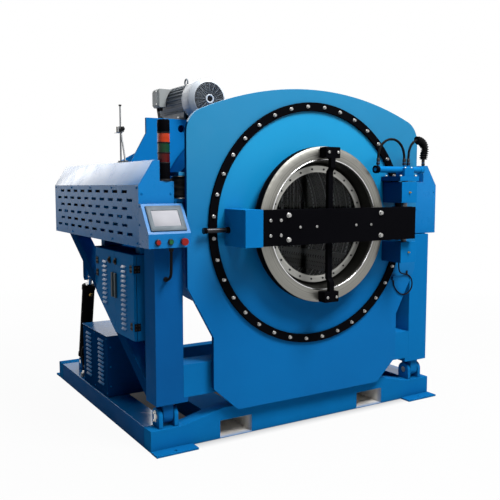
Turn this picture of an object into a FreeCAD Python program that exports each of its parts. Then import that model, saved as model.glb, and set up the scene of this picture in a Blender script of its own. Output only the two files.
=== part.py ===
import FreeCAD
import Part
import math
import os

# Tilting washer extractor, in millimetres.
# X runs to the right of someone facing the door, Y to the rear, Z up.
# The origin is on the floor, in the middle of the base.

Vector = FreeCAD.Vector
X_AXIS = Vector(1, 0, 0)
Y_AXIS = Vector(0, 1, 0)
Z_AXIS = Vector(0, 0, 1)
SIDES = (-1, 1)

# Base frame
base_width = 2180.0
base_length = 2000.0
rail_width = 160.0
rail_height = 127.0
rail_wall = 10.0
beam_depth = 100.0
foot_plate_length = 85.0
foot_plate_width = 262.0
foot_plate_thickness = 12.0
anchor_hole_diameter = 18.0
anchor_edge = 35.0
crown_rise = 63.0
crown_inset = 480.0
crown_slope_width = 270.0
fork_spacing = 1060.0
fork_width = 220.0
fork_height = 105.0
fork_wall = 5.0

# Tilt pivot at the feet of the columns
pivot_setback = 150.0
pivot_height = 190.0
pivot_inset = 120.0
pivot_pin_diameter = 40.0
ear_radius = 50.0
ear_thickness = 25.0
lug_width = 64.0
lug_side_gap = 4.0
running_gap = 0.05

# Lift cylinders
lift_inset = 60.0
lift_foot_setback = 1600.0
lift_foot_height = 185.0
lift_eye_setback = 1440.0
lift_eye_height = 860.0
lift_pin_diameter = 30.0
lift_eye_width = 36.0
lift_eye_radius = 32.0
lift_cheek_thickness = 15.0
lift_cheek_gap = 2.0
lift_open_gap = 4.5
barrel_diameter = 90.0
barrel_wall = 15.0
barrel_length = 555.0
rod_diameter = 50.0
rod_insert = 620.0

# Drum, tub and front plate
axis_height = 1276.0
plate_setback = 30.0
plate_thickness = 25.0
plate_side_gap = 27.0
plate_top_rise = 824.0
plate_top_radius = 2050.0
plate_corner_radius = 150.0
plate_shoulder_drop = 336.0
plate_waist_inset = 165.0
plate_waist_drop = 639.0
plate_chamfer_drop = 946.0
plate_foot_inset = 331.0
plate_foot_drop = 1096.0
tub_radius = 690.0
tub_wall = 8.0
tub_front_thickness = 14.0
tub_front_margin = 8.0
tub_length = 1056.0
tub_rear_thickness = 25.0
plate_hole_gap = 2.0
neck_radius = 430.0
neck_wall = 12.0
neck_length = 35.0
gasket_thickness = 25.0
gasket_width = 34.0
seal_gap = 0.4
ring_joint_gap = 4.0
ring_width = 52.0
ring_thickness = 16.0
ring_bolt_count = 36
ring_bolt_across = 17.0
ring_bolt_height = 12.0

# Drum
drum_gap = 35.0
drum_wall = 5.0
drum_front_gap = 56.0
drum_length = 955.0
drum_mouth_step = 10.0
drum_lip_length = 22.0
drum_back_thickness = 10.0
drum_hub_radius = 210.0
drum_hub_gap = 5.0
lifter_count = 3
lifter_height = 130.0
lifter_width = 170.0
lifter_top_width = 50.0
lifter_end_gap = 15.0
shaft_radius = 55.0
bearing_radius = 140.0
bearing_length = 195.0
rear_rib_count = 6
rear_rib_thickness = 16.0
rear_rib_height = 90.0
pulley_gap = 14.0
pulley_width = 90.0
drum_pulley_radius = 300.0
pulley_rim = 22.0
pulley_web = 20.0
pulley_hub_radius = 95.0
pulley_hole_count = 6
pulley_hole_radius = 52.0
belt_count = 4
belt_width = 14.0
belt_pitch = 19.0
belt_height = 11.0
belt_gap = 0.4

# Motor and the welded frame that carries it
motor_side = 366.0
motor_shaft_height = 132.0
motor_foot_gap = 2.0
motor_fin_height = 12.0
motor_fin_thickness = 6.0
motor_fin_count = 28
motor_length = 420.0
motor_foot_span = 216.0
motor_foot_width = 50.0
motor_foot_thickness = 16.0
motor_shaft_diameter = 38.0
motor_pulley_radius = 75.0
motor_shield_length = 30.0
motor_shield_radius = 112.0
fan_cover_radius = 141.0
fan_nose_share = 0.79
fan_dome_share = 0.25
fan_cover_length = 140.0
fan_cover_overlap = 10.0
platform_gap = 2.0
fan_cover_wall = 4.0
fan_slot_count = 24
terminal_depth = 60.0
terminal_length = 105.0
terminal_height = 130.0
terminal_rise = 40.0
terminal_inset = 40.0
eye_bolt_radius = 22.0
platform_drop = 22.0
platform_thickness = 20.0
platform_outer = 560.0
platform_inner = 225.0
platform_length = 450.0
arch_outer = 690.0
gusset_outer = 766.0
gusset_shoulder = 585.0
gusset_thickness = 20.0
gusset_hole_radius = 25.0
gusset_hole_side = 508.0
gusset_hole_drop = 63.0
shell_gap = 0.3

# Air springs and the brackets that sit on them
spring_diameter = 120.0
spring_height = 130.0
spring_top_gap = 0.5
spring_folds = 3
spring_front_setback = 175.0
spring_rear_setback = 1000.0
bracket_rise = 294.0
bracket_thickness = 20.0
bracket_overlap = 10.0
bracket_root_gap = 10.0
bracket_width = 150.0
bracket_rib_height = 80.0
shelf_thickness = 20.0

# Tilting frame
column_width = 172.0
column_depth = 147.0
column_setback = 79.0
column_foot_height = 267.0
column_foot_plate = 28.0
column_foot_step = 28.0
frame_beam_step = 6.0
frame_beam_width = 145.0
frame_beam_height = 266.0
frame_beam_start = 105.0
frame_beam_end = 1722.0
frame_wall = 12.0
brace_step = 5.0
brace_width = 100.0
brace_rise = 90.0
cross_beam_height = 191.0
rear_cross_width = 100.0
rear_cross_height = 190.0

# Slotted guards over the frame beams
sheet = 4.0
guard_gap = 88.0
ledge_step = 20.0
guard_front_gap = 9.0
guard_rear_gap = 6.0
guard_drop = 4.0
guard_wall_height = 339.0
lid_rise = 138.0
lid_inset = 88.0
ridge_width = 40.0
ledge_rise = 100.0
slot_length = 85.0
slot_height = 17.0
slot_pitch = 153.0
slot_row_pitch = 48.0
slot_rows = 6
slot_first = 136.0
slot_low = 62.0
standoff_size = 40.0
standoff_count = 3

# Operator console
console_width = 251.0
console_depth = 133.0
console_strip_height = 77.0
console_slope_depth = 106.0
console_slope_height = 160.0
button_height = 32.0
button_spacing = 75.0
button_outer_edge = 53.0
button_cap_radius = 12.0
button_cap_length = 9.0
button_stem_radius = 8.0
button_stem_length = 26.0
button_clearance = 5.0
button_bezel_wall = 3.0
button_bezel_gap = 0.4
button_bezel_height = 8.0
mushroom_radius = 20.0
mushroom_length = 14.0
mushroom_clearance = 8.0
hmi_width = 212.0
hmi_height = 158.0
hmi_thickness = 8.0
hmi_window_width = 160.0
hmi_window_height = 100.0
hmi_screen_depth = 5.0
hmi_fit_gap = 0.2

# Signal tower, with its three lamps from the bottom up
tower_setback = 135.0
tower_radius = 35.0
tower_base_height = 100.0
tower_lamp_height = 56.0
tower_cap_height = 73.0
tower_lamp_inset = 1.0

# Control cabinet on the left, with two doors
cabinet_proud = 34.0
cabinet_depth = 250.0
cabinet_front_setback = 305.0
cabinet_rear_setback = 970.0
cabinet_seam_setback = 622.0
cabinet_height = 527.0
cabinet_hang = 62.0
cabinet_hanger_width = 60.0
cabinet_wall = 3.0
cabinet_brace_gap = 6.0
door_thickness = 18.0
door_gap = 2.0
hinge_knuckle_radius = 7.0
hinge_knuckle_length = 60.0
hinge_knuckle_inset = 55.0
handle_width = 26.0
handle_length = 150.0
handle_depth = 10.0
handle_drop = 212.0
door_relief = 3.0
louvre_length = 75.0
louvre_height = 14.0
louvre_depth = 8.0
louvre_pitch = 29.0
louvre_top_drop = 75.0
louvre_low_gap = 37.5
drive_width = 200.0
drive_height = 260.0
drive_depth = 140.0
gear_panel_thickness = 4.0
contactor_count = 4
contactor_width = 45.0
contactor_height = 70.0
contactor_depth = 80.0
contactor_pitch = 55.0

# Hydraulic power unit on the base
unit_inset = 12.0
unit_depth = 300.0
unit_front_setback = 816.0
unit_length = 500.0
unit_height = 405.0
unit_tray = 6.0
unit_lid_overhang = 8.0
unit_lid_thickness = 5.0
unit_louvre_count = 11
unit_louvre_length = 110.0
tank_height = 170.0
tank_margin = 30.0
pump_motor_radius = 65.0
pump_motor_height = 150.0
bearer_depth = 60.0

# Limit switch stand on the left guard
stand_setback = 635.0
stand_rod_radius = 5.0
stand_height = 345.0
stand_clamp_height = 205.0
stand_clamp_size = 34.0
stand_foot_radius = 18.0
stand_foot_height = 12.0
stand_lean = 75.0

# Door
rim_overhang = 45.0
rim_width = 80.0
rim_depth = 60.0
rim_wall = 8.0
rim_crown = 5.0
pan_taper = 27.0
pan_depth = 108.0
pan_wall = 4.0
pan_flange_width = 43.0
pan_flange_thickness = 6.0
glass_edge_gap = 8.0
glass_thickness = 12.0
clamp_width = 42.0
clamp_overhang = 2.0
clamp_thickness = 10.0
door_bar_overhang = 43.0
door_bar_end = 8.0
knuckle_reach = 36.0
door_bar_height = 205.0
door_bar_depth = 60.0
door_bar_standoff = 50.0
door_bar_wall = 12.0
strap_width = 36.0
strap_thickness = 28.0
strap_kink_inset = 50.0
strap_kink_step = 22.0
clamp_block_width = 106.0
clamp_block_height = 66.0
side_block_width = 110.0
side_block_height = 170.0
side_block_inset = 30.0
bar_bolt_inset = 47.0
bar_bolt_rise = 70.0
bar_bolt_across = 22.0
bar_bolt_height = 14.0

# Door hinge, its rotary actuator and the lock
hinge_reach = 163.0
hinge_offset = 135.0
hinge_shaft_radius = 18.0
hinge_bracket_width = 133.0
hinge_bracket_nose = 45.0
hinge_bracket_height = 135.0
hinge_bracket_gap = 25.0
hinge_plate_thickness = 30.0
hinge_plate_gap = 7.0
hinge_plate_width = 165.0
actuator_radius = 20.0
actuator_left = 258.0
actuator_right = 152.0
actuator_rise = 22.0
actuator_block = 80.0
actuator_fitting_radius = 9.0
actuator_fitting_height = 48.0
actuator_fitting_inset = 25.0
actuator_elbow_reach = 10.0
latch_width = 115.0
latch_gap = 2.0
latch_height = 210.0
lock_bolt_radius = 15.0
lock_bolt_length = 80.0
lock_socket_gap = 2.0
lock_cylinder_radius = 14.0
lock_cylinder_length = 165.0
lock_cylinder_drop = 14.0

# Drain valve under the tub
drain_setback = 800.0
drain_pipe_radius = 55.0
drain_pipe_length = 210.0
drain_valve_radius = 95.0
drain_valve_height = 70.0
drain_actuator_length = 150.0
drain_actuator_size = 80.0
drain_saddle_radius = 110.0
drain_saddle_height = 40.0

# Hoses and cables
hose_radius = 8.0
hose_end_gap = 0.3
lift_hose_radius = 5.0
lift_hose_inset = 30.0
lift_hose_height = 360.0
hose_block_reach = 76.0
hose_block_inset = 20.0
hose_block_size = 36.0
hose_block_height = 25.0
cable_radius = 4.5
conduit_radius = 8.0
conduit_side = 22.0
conduit_reach = 80.0
conduit_drop = 140.0
cable_rest_gap = 0.5
cable_gland_width = 32.0
cable_gland_depth = 20.0
cable_gland_height = 26.0
cable_gland_reach = 38.0
cable_gland_drop = 402.0
cable_start_gap = 40.0
notch_gap = 3.0

# Places worked out from the sizes above
front_edge = -base_length / 2
rear_edge = base_length / 2
half_width = base_width / 2
rail_inner = half_width - rail_width
beam_front = front_edge + foot_plate_length
beam_rear = rear_edge - foot_plate_length
pivot_y = front_edge + pivot_setback
pivot_offset = half_width - pivot_inset
crown_half_width = half_width - crown_inset
column_outer = pivot_offset + column_width / 2
column_inner = column_outer - column_width
column_foot_inner = column_inner - column_foot_step
frame_beam_outer = column_outer - frame_beam_step
frame_beam_inner = frame_beam_outer - frame_beam_width
brace_outer = frame_beam_outer - brace_step
lift_offset = brace_outer - lift_inset
guard_outer = frame_beam_outer + guard_gap
guard_inner = frame_beam_inner + ledge_step
console_inner = guard_outer - console_width
cabinet_face = column_outer + cabinet_proud
unit_face = half_width - unit_inset
spring_offset = frame_beam_inner - spring_diameter / 2
bracket_reach = frame_beam_inner + bracket_overlap
bracket_root = tub_radius + bracket_root_gap
plate_half_width = frame_beam_inner - plate_side_gap
plate_waist_half = plate_half_width - plate_waist_inset
plate_foot_half = plate_half_width - plate_foot_inset
ring_inner_radius = tub_radius + ring_joint_gap
ring_outer_radius = ring_inner_radius + ring_width
ring_bolt_radius = ring_inner_radius + ring_width / 2
drum_radius = tub_radius - drum_gap
drum_mouth_radius = neck_radius + drum_mouth_step
platform_rise = tub_radius - platform_drop
motor_radius = motor_shaft_height - motor_foot_gap - motor_fin_height
rim_outer_radius = neck_radius + rim_overhang
rim_inner_radius = rim_outer_radius - rim_width
pan_radius = rim_inner_radius - pan_taper
pan_flange_inner = pan_radius - pan_flange_width
glass_radius = pan_radius - glass_edge_gap
clamp_outer_radius = glass_radius + clamp_overhang
clamp_inner_radius = clamp_outer_radius - clamp_width
strap_kink_radius = rim_inner_radius - strap_kink_inset
bar_bolt_side = rim_inner_radius - bar_bolt_inset
hinge_side = rim_outer_radius + hinge_reach
cable_gland_side = hinge_side + cable_gland_reach
door_bar_left = rim_outer_radius + door_bar_overhang
door_bar_right = hinge_side + door_bar_end
lift_foot_y = front_edge + lift_foot_setback
lift_eye_y = front_edge + lift_eye_setback
plate_face = front_edge + plate_setback
plate_back = plate_face + plate_thickness
tub_rear = plate_face + tub_length
drum_front = plate_face + drum_front_gap + tub_front_thickness
drum_rear = drum_front + drum_length
drum_hub_length = tub_rear - drum_rear - drum_back_thickness - drum_hub_gap
bearing_rear = tub_rear + tub_rear_thickness + bearing_length
pulley_front = bearing_rear + pulley_gap
pulley_rear = pulley_front + pulley_width
platform_top = axis_height + platform_rise + platform_thickness
motor_axis_z = platform_top + motor_shaft_height
motor_rear = pulley_front - pulley_gap - motor_shield_length
motor_front = motor_rear - motor_length
bracket_z = axis_height + bracket_rise
spring_seat = bracket_z - spring_height
frame_beam_bottom = spring_seat - frame_beam_height
column_front = front_edge + column_setback
column_back = column_front + column_depth
guard_front = front_edge + frame_beam_start - guard_front_gap
guard_rear = front_edge + frame_beam_end + guard_rear_gap
guard_bottom = frame_beam_bottom + guard_drop
guard_shoulder = guard_bottom + guard_wall_height
ridge_z = guard_shoulder + lid_rise
ridge_outer = guard_outer - lid_inset
ridge_inner = ridge_outer - ridge_width
tower_side = (ridge_inner + guard_inner) / 2
ledge_z = spring_seat + ledge_rise
console_front = guard_front - console_depth
gasket_front = plate_face - neck_length - gasket_thickness
rim_back = gasket_front - seal_gap
rim_front = rim_back - rim_depth
bar_back = rim_front - door_bar_standoff
bar_front = bar_back - door_bar_depth
hinge_y = plate_face - hinge_offset
cabinet_top = frame_beam_bottom - cabinet_hang
cabinet_bottom = cabinet_top - cabinet_height
unit_floor = rail_height + unit_tray


def box(x0, x1, y0, y1, z0, z1):
    """A block between two corners."""
    return Part.makeBox(x1 - x0, y1 - y0, z1 - z0, Vector(x0, y0, z0))


def rod(radius, start, end):
    """A round bar from one point to another."""
    run = end - start
    return Part.makeCylinder(radius, run.Length, start, run)


def fuse(shapes):
    """Weld several solids into one."""
    first = shapes[0]
    return first.multiFuse(shapes[1:]).removeSplitter()


def prism_x(points, x0, x1):
    """A (y, z) outline pulled along X."""
    wire = Part.makePolygon([Vector(x0, y, z) for y, z in points + points[:1]])
    return Part.Face(wire).extrude(Vector(x1 - x0, 0, 0))


def prism_y(points, y0, y1):
    """An (x, z) outline pulled along Y."""
    wire = Part.makePolygon([Vector(x, y0, z) for x, z in points + points[:1]])
    return Part.Face(wire).extrude(Vector(0, y1 - y0, 0))


def turned(points, x, z):
    """A (radius, y) outline turned about an axis along Y through (x, z)."""
    wire = Part.makePolygon([Vector(x + r, y, z) for r, y in points + points[:1]])
    return Part.Face(wire).revolve(Vector(x, 0, z), Y_AXIS, 360)


def ring(inner, outer, y0, y1, x=0.0, z=axis_height):
    """A flat ring or tube about an axis along Y."""
    return turned([(inner, y0), (outer, y0), (outer, y1), (inner, y1)], x, z)


def disc(radius, y0, y1, x=0.0, z=axis_height):
    """A round disc about an axis along Y."""
    return Part.makeCylinder(radius, y1 - y0, Vector(x, y0, z), Y_AXIS)


def hex_head(across, y0, y1, x, z):
    """A hexagon bolt head whose axis is along Y."""
    radius = across / math.sqrt(3)
    corners = [math.radians(60 * k) for k in range(6)]
    return prism_y([(x + radius * math.cos(a), z + radius * math.sin(a)) for a in corners], y0, y1)


def mirrored(shape):
    """The same piece on the other side of the machine."""
    return shape.mirror(Vector(0, 0, 0), X_AXIS)


def both_sides(shape):
    """A left piece and its mirror image, as two solids."""
    return Part.makeCompound([shape, mirrored(shape)])


def inset(points, gap):
    """A convex outline, listed anticlockwise, moved inwards by a gap."""
    lines = []
    for (x0, y0), (x1, y1) in zip(points, points[1:] + points[:1]):
        length = math.hypot(x1 - x0, y1 - y0)
        normal = ((y0 - y1) / length, (x1 - x0) / length)
        lines.append((normal, normal[0] * x0 + normal[1] * y0 + gap))
    moved = []
    for (n0, c0), (n1, c1) in zip(lines[-1:] + lines[:-1], lines):
        det = n0[0] * n1[1] - n0[1] * n1[0]
        moved.append(((c0 * n1[1] - c1 * n0[1]) / det, (n0[0] * c1 - n1[0] * c0) / det))
    return moved


def tube(points, radius, name):
    """A round tube on straight runs joined by arcs as large as the runs allow."""
    edges = []
    radii = []
    last = points[0]
    for before, corner, after in zip(points, points[1:], points[2:]):
        back = (before - corner).normalize()
        ahead = (after - corner).normalize()
        cut = 0.45 * min((before - corner).Length, (after - corner).Length)
        half_turn = (math.pi - back.getAngle(ahead)) / 2
        bend = cut / math.tan(half_turn)
        start = corner + back * cut
        end = corner + ahead * cut
        inward = (back + ahead).normalize()
        middle = corner + inward * (bend / math.cos(half_turn) - bend)
        edges.append(Part.LineSegment(last, start).toShape())
        edges.append(Part.Arc(start, middle, end).toShape())
        radii.append(round(bend))
        last = end
    edges.append(Part.LineSegment(last, points[-1]).toShape())
    path = Part.Wire(edges)
    section = Part.Wire([Part.Circle(points[0], points[1] - points[0], radius).toShape()])
    solid = path.makePipeShell([section], True, False)
    wanted = math.pi * radius ** 2 * path.Length
    ratio = round(solid.Volume / wanted, 4)
    print(name, "length", round(path.Length), "bend radii", radii, "volume ratio", ratio)
    return solid


# Base frame

def make_base_side_rails():
    """Two channels, open inwards, between the front and rear beams."""
    y0 = beam_front + beam_depth
    y1 = beam_rear - beam_depth
    channel = box(-half_width, -rail_inner, y0, y1, 0, rail_height)
    hollow = box(-half_width + rail_wall, -rail_inner, y0, y1, rail_wall, rail_height - rail_wall)
    return both_sides(channel.cut(hollow))


def make_base_cross_beams():
    """Front and rear beams with fork pockets, the pocket tubes and the power unit's bearer."""
    top = rail_height + crown_rise
    slope_end = crown_half_width + crown_slope_width
    right = [(half_width, 0), (half_width, rail_height), (slope_end, rail_height), (crown_half_width, top)]
    left = [(-x, z) for x, z in reversed(right)]
    front = prism_y(right + left, beam_front, beam_front + beam_depth)
    rear = box(-half_width, half_width, beam_rear - beam_depth, beam_rear, 0, rail_height)
    tubes = []
    for side in SIDES:
        x = side * fork_spacing / 2
        z1 = fork_wall + fork_height
        pocket = box(x - fork_width / 2, x + fork_width / 2, front_edge, rear_edge, fork_wall, z1)
        front = front.cut(pocket)
        rear = rear.cut(pocket)
        skin = box(x - fork_width / 2 - fork_wall, x + fork_width / 2 + fork_wall,
                   beam_front + beam_depth, beam_rear - beam_depth, 0, z1 + fork_wall)
        tubes.append(skin.cut(pocket))
    bearer_y = front_edge + unit_front_setback + unit_length / 2
    bearer_inner = fork_spacing / 2 + fork_width / 2 + fork_wall
    bearer = box(-rail_inner, -bearer_inner, bearer_y - bearer_depth / 2, bearer_y + bearer_depth / 2,
                 rail_height - bearer_depth, rail_height)
    return Part.makeCompound([front, rear] + tubes + [bearer])


def make_foot_plates():
    """Four corner tabs with a hole each for the floor anchors."""
    plates = []
    for side in SIDES:
        for y0, y1, hole_y in ((front_edge, beam_front, front_edge + anchor_edge),
                               (beam_rear, rear_edge, rear_edge - anchor_edge)):
            inner = half_width - foot_plate_width
            x0, x1 = sorted((side * inner, side * half_width))
            plate = box(x0, x1, y0, y1, 0, foot_plate_thickness)
            hole = Part.makeCylinder(anchor_hole_diameter / 2, foot_plate_thickness,
                                     Vector((x0 + x1) / 2, hole_y, 0))
            plates.append(plate.cut(hole))
    return Part.makeCompound(plates)


def ear(x0, x1, y, z, foot_z, radius, bore):
    """An upright cheek plate, round at the top, with a bore along X."""
    cheek = box(x0, x1, y - radius, y + radius, foot_z, z)
    cheek = fuse([cheek, Part.makeCylinder(radius, x1 - x0, Vector(x0, y, z), X_AXIS)])
    return cheek.cut(Part.makeCylinder(bore, x1 - x0, Vector(x0, y, z), X_AXIS))


def make_base_pivot_ears():
    """Pairs of cheeks for the tilt pivots and for the feet of the lift cylinders."""
    ears = []
    inside = lug_width / 2 + lug_side_gap
    for x in (-pivot_offset - inside - ear_thickness, -pivot_offset + inside):
        ears.append(ear(x, x + ear_thickness, pivot_y, pivot_height, rail_height, ear_radius,
                        pivot_pin_diameter / 2))
    inside = lift_eye_width / 2 + lift_cheek_gap
    for x in (-lift_offset - inside - lift_cheek_thickness, -lift_offset + inside):
        ears.append(ear(x, x + lift_cheek_thickness, lift_foot_y, lift_foot_height, rail_height,
                        lift_eye_radius, lift_pin_diameter / 2))
    return Part.makeCompound(ears + [mirrored(e) for e in ears])


def make_pivot_pins():
    """The two tilt pins and the two pins in the feet of the lift cylinders."""
    reach = lug_width / 2 + lug_side_gap + ear_thickness
    tilt = Part.makeCylinder(pivot_pin_diameter / 2, 2 * reach,
                             Vector(-pivot_offset - reach, pivot_y, pivot_height), X_AXIS)
    reach = lift_eye_width / 2 + lift_cheek_gap + lift_cheek_thickness
    lift = Part.makeCylinder(lift_pin_diameter / 2, 2 * reach,
                             Vector(-lift_offset - reach, lift_foot_y, lift_foot_height), X_AXIS)
    return Part.makeCompound([tilt, lift, mirrored(tilt), mirrored(lift)])


def louvres(face, y, z_top, count, length):
    """A column of pressed hoods standing out of a wall that faces -X."""
    hoods = []
    for k in range(count):
        z1 = z_top - k * louvre_pitch
        z0 = z1 - louvre_height
        hood = [(-face, z1), (-face, z0), (-face - louvre_depth, z0)]
        hoods.append(prism_y(hood, y - length / 2, y + length / 2))
    return hoods


def make_power_unit_cabinet():
    """A tray and a louvred hood over the hydraulic power unit."""
    y0 = front_edge + unit_front_setback
    y1 = y0 + unit_length
    inner = unit_face - unit_depth
    tray = box(-unit_face, -inner, y0, y1, rail_height, unit_floor)
    top = rail_height + unit_height
    hood = box(-unit_face, -inner, y0, y1, unit_floor, top)
    hollow = box(-unit_face + sheet, -inner - sheet, y0 + sheet, y1 - sheet, unit_floor, top - sheet)
    lid = box(-unit_face - unit_lid_overhang, -inner, y0 - unit_lid_overhang, y1 + unit_lid_overhang,
              top, top + unit_lid_thickness)
    pieces = [hood.cut(hollow), lid]
    for k in (1, 3):
        pieces += louvres(unit_face, y0 + k * unit_length / 4, top - louvre_top_drop / 2,
                          unit_louvre_count, unit_louvre_length)
    return Part.makeCompound([tray, fuse(pieces)])


def make_hydraulic_unit():
    """The oil tank with the pump motor standing on its lid, and the port block on the rail."""
    y0 = front_edge + unit_front_setback
    inner = unit_face - unit_depth
    tank = box(-unit_face + tank_margin, -inner - tank_margin, y0 + tank_margin,
               y0 + unit_length - tank_margin, unit_floor, unit_floor + tank_height)
    foot = Vector(-unit_face + unit_depth / 2, y0 + unit_length / 2, unit_floor + tank_height)
    unit = fuse([tank, Part.makeCylinder(pump_motor_radius, pump_motor_height, foot)])
    half = hose_block_size / 2
    x = -unit_face + hose_block_inset
    y = y0 + unit_length + hose_block_reach
    block = box(x - half, x + half, y - half, y + half, rail_height, rail_height + hose_block_height)
    return Part.makeCompound([unit, block])


def make_lift_hose():
    """The hose from the hood's rear wall round to the port block on the rail."""
    x = -unit_face + lift_hose_inset
    y = front_edge + unit_front_setback + unit_length
    z = lift_hose_height
    bend = [(0, hose_end_gap, 0), (0, 42, 0), (-5, 80, -12), (-9, 108, -40), (-11, 117, -78),
            (-11, 107, -116), (-11, 87, -150)]
    points = [Vector(x + across, y + back, z + up) for across, back, up in bend]
    end = Vector(-unit_face + hose_block_inset, y + hose_block_reach,
                 rail_height + hose_block_height + hose_end_gap)
    points += [end + Vector(0, 0, hose_block_height + lift_hose_radius), end]
    return tube(points, lift_hose_radius, "lift_hose")


# Lift cylinders, built upright on their foot pin and then leaned to the eye

lift_length = math.hypot(lift_eye_y - lift_foot_y, lift_eye_height - lift_foot_height)
lift_lean = math.degrees(math.atan2(lift_foot_y - lift_eye_y, lift_eye_height - lift_foot_height))


def leaned(shape):
    """Move a part of the left cylinder from the upright build to its place."""
    turn = FreeCAD.Rotation(X_AXIS, lift_lean)
    shape.Placement = FreeCAD.Placement(Vector(-lift_offset, lift_foot_y, lift_foot_height), turn)
    return shape


def eye(z, bore):
    """A round eye across the cylinder's end."""
    start = Vector(-lift_eye_width / 2, 0, z)
    return (Part.makeCylinder(lift_eye_radius, lift_eye_width, start, X_AXIS),
            Part.makeCylinder(bore, lift_eye_width, start, X_AXIS))


def make_lift_barrels():
    """Two barrels, each with its foot eye and a bore for the rod."""
    foot, bore = eye(0, lift_pin_diameter / 2 + running_gap)
    body_start = lift_eye_radius * 1.5
    neck = Part.makeCylinder(lift_eye_width / 2, body_start, Vector(0, 0, 0))
    body = Part.makeCylinder(barrel_diameter / 2, barrel_length, Vector(0, 0, body_start))
    hollow = Part.makeCylinder(rod_diameter / 2 + running_gap, barrel_length,
                               Vector(0, 0, body_start + barrel_wall))
    return both_sides(leaned(fuse([foot, neck, body]).cut(fuse([bore, hollow]))))


def make_lift_rods():
    """Two bright rods with the eyes that lift the frame."""
    top, bore = eye(lift_length, lift_pin_diameter / 2 + lift_open_gap)
    stem = Part.makeCylinder(rod_diameter / 2, rod_insert, Vector(0, 0, lift_length - rod_insert))
    neck_cut = rod_diameter
    neck_z = lift_length - lift_eye_radius - rod_diameter / 4
    sides = [box(s * lift_eye_width / 2 + min(s, 0) * neck_cut, s * lift_eye_width / 2 + max(s, 0) * neck_cut,
                 -neck_cut, neck_cut, neck_z, lift_length + neck_cut) for s in SIDES]
    return both_sides(leaned(fuse([top, stem]).cut(fuse([bore] + sides))))


# Tilting frame

def make_frame_columns():
    """Front columns, each with its foot plate and the lug of the tilt pivot."""
    post = box(-column_outer, -column_inner, column_front, column_back, column_foot_height, frame_beam_bottom)
    foot = box(-column_outer, -column_foot_inner, column_front, column_back, column_foot_height,
               column_foot_height + column_foot_plate)
    x0 = -pivot_offset - lug_width / 2
    reach = ear_radius - lug_side_gap
    lug = box(x0, x0 + lug_width, pivot_y - reach, pivot_y + reach, pivot_height, column_foot_height)
    boss = Part.makeCylinder(reach, lug_width, Vector(x0, pivot_y, pivot_height), X_AXIS)
    bore = Part.makeCylinder(pivot_pin_diameter / 2 + running_gap, lug_width,
                             Vector(x0, pivot_y, pivot_height), X_AXIS)
    hollow = box(-column_outer + frame_wall, -column_inner - frame_wall, column_front + frame_wall,
                 column_back - frame_wall, column_foot_height + column_foot_plate, frame_beam_bottom)
    return both_sides(fuse([post, foot, lug, boss]).cut(fuse([bore, hollow])))


brace_run = (front_edge + frame_beam_end) - column_back
brace_slope = (frame_beam_bottom - column_foot_height) / brace_run


def brace_under(y):
    """Height of the brace's lower edge at a place along Y."""
    return column_foot_height + (y - column_back) * brace_slope


def make_frame_braces():
    """Diagonal braces, each with the cheeks and pin that its lift cylinder pushes on."""
    rear = front_edge + frame_beam_end
    top_end = rear - brace_rise / brace_slope
    outline = [(column_back, column_foot_height), (rear, frame_beam_bottom), (top_end, frame_beam_bottom),
               (column_back, column_foot_height + brace_rise)]
    pieces = [prism_x(outline, -brace_outer, -brace_outer + brace_width)]
    inside = lift_eye_width / 2 + lift_cheek_gap
    y0 = lift_eye_y - lift_eye_radius
    y1 = lift_eye_y + lift_eye_radius
    for x in (-lift_offset - inside - lift_cheek_thickness, -lift_offset + inside):
        cheek = [(y0, lift_eye_height), (y1, lift_eye_height), (y1, brace_under(y1)), (y0, brace_under(y0))]
        pieces.append(prism_x(cheek, x, x + lift_cheek_thickness))
        pieces.append(Part.makeCylinder(lift_eye_radius, lift_cheek_thickness,
                                        Vector(x, lift_eye_y, lift_eye_height), X_AXIS))
    reach = inside + lift_cheek_thickness
    pieces.append(Part.makeCylinder(lift_pin_diameter / 2, 2 * reach,
                                    Vector(-lift_offset - reach, lift_eye_y, lift_eye_height), X_AXIS))
    return both_sides(fuse(pieces))


def make_frame_beams():
    """Side beams with their spring shelves and guard standoffs, and the two cross beams."""
    y0 = front_edge + frame_beam_start
    y1 = front_edge + frame_beam_end
    channel = box(-frame_beam_outer, -frame_beam_inner, y0, y1, frame_beam_bottom, spring_seat)
    hollow = box(-frame_beam_outer, -frame_beam_inner - frame_wall, y0, y1, frame_beam_bottom + frame_wall,
                 spring_seat - frame_wall)
    pieces = [channel.cut(hollow)]
    shelf_inner = spring_offset - spring_diameter / 2
    for setback in (spring_front_setback, spring_rear_setback):
        y = front_edge + setback
        half = spring_diameter / 2
        pieces.append(box(-frame_beam_inner, -shelf_inner, y - half, y + half,
                          spring_seat - shelf_thickness, spring_seat))
        under = spring_seat - shelf_thickness
        web = [(-frame_beam_inner, under), (-shelf_inner, under),
               (-frame_beam_inner, spring_seat - frame_beam_height / 2)]
        pieces.append(prism_y(web, y - shelf_thickness / 2, y + shelf_thickness / 2))
    for k in range(standoff_count):
        y = y0 + (k + 0.5) * (y1 - y0) / standoff_count
        z = (guard_bottom + spring_seat) / 2
        pieces.append(box(-guard_outer + sheet, -frame_beam_inner - frame_wall, y, y + standoff_size,
                          z, z + standoff_size))
    side = fuse(pieces)
    low = column_foot_height + column_foot_plate
    front = box(-column_inner, column_inner, column_front, column_back, low, low + cross_beam_height)
    rear = box(-frame_beam_inner, frame_beam_inner, y1 - rear_cross_width, y1,
               spring_seat - rear_cross_height, spring_seat)
    return Part.makeCompound([side, mirrored(side), front, rear])


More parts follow.
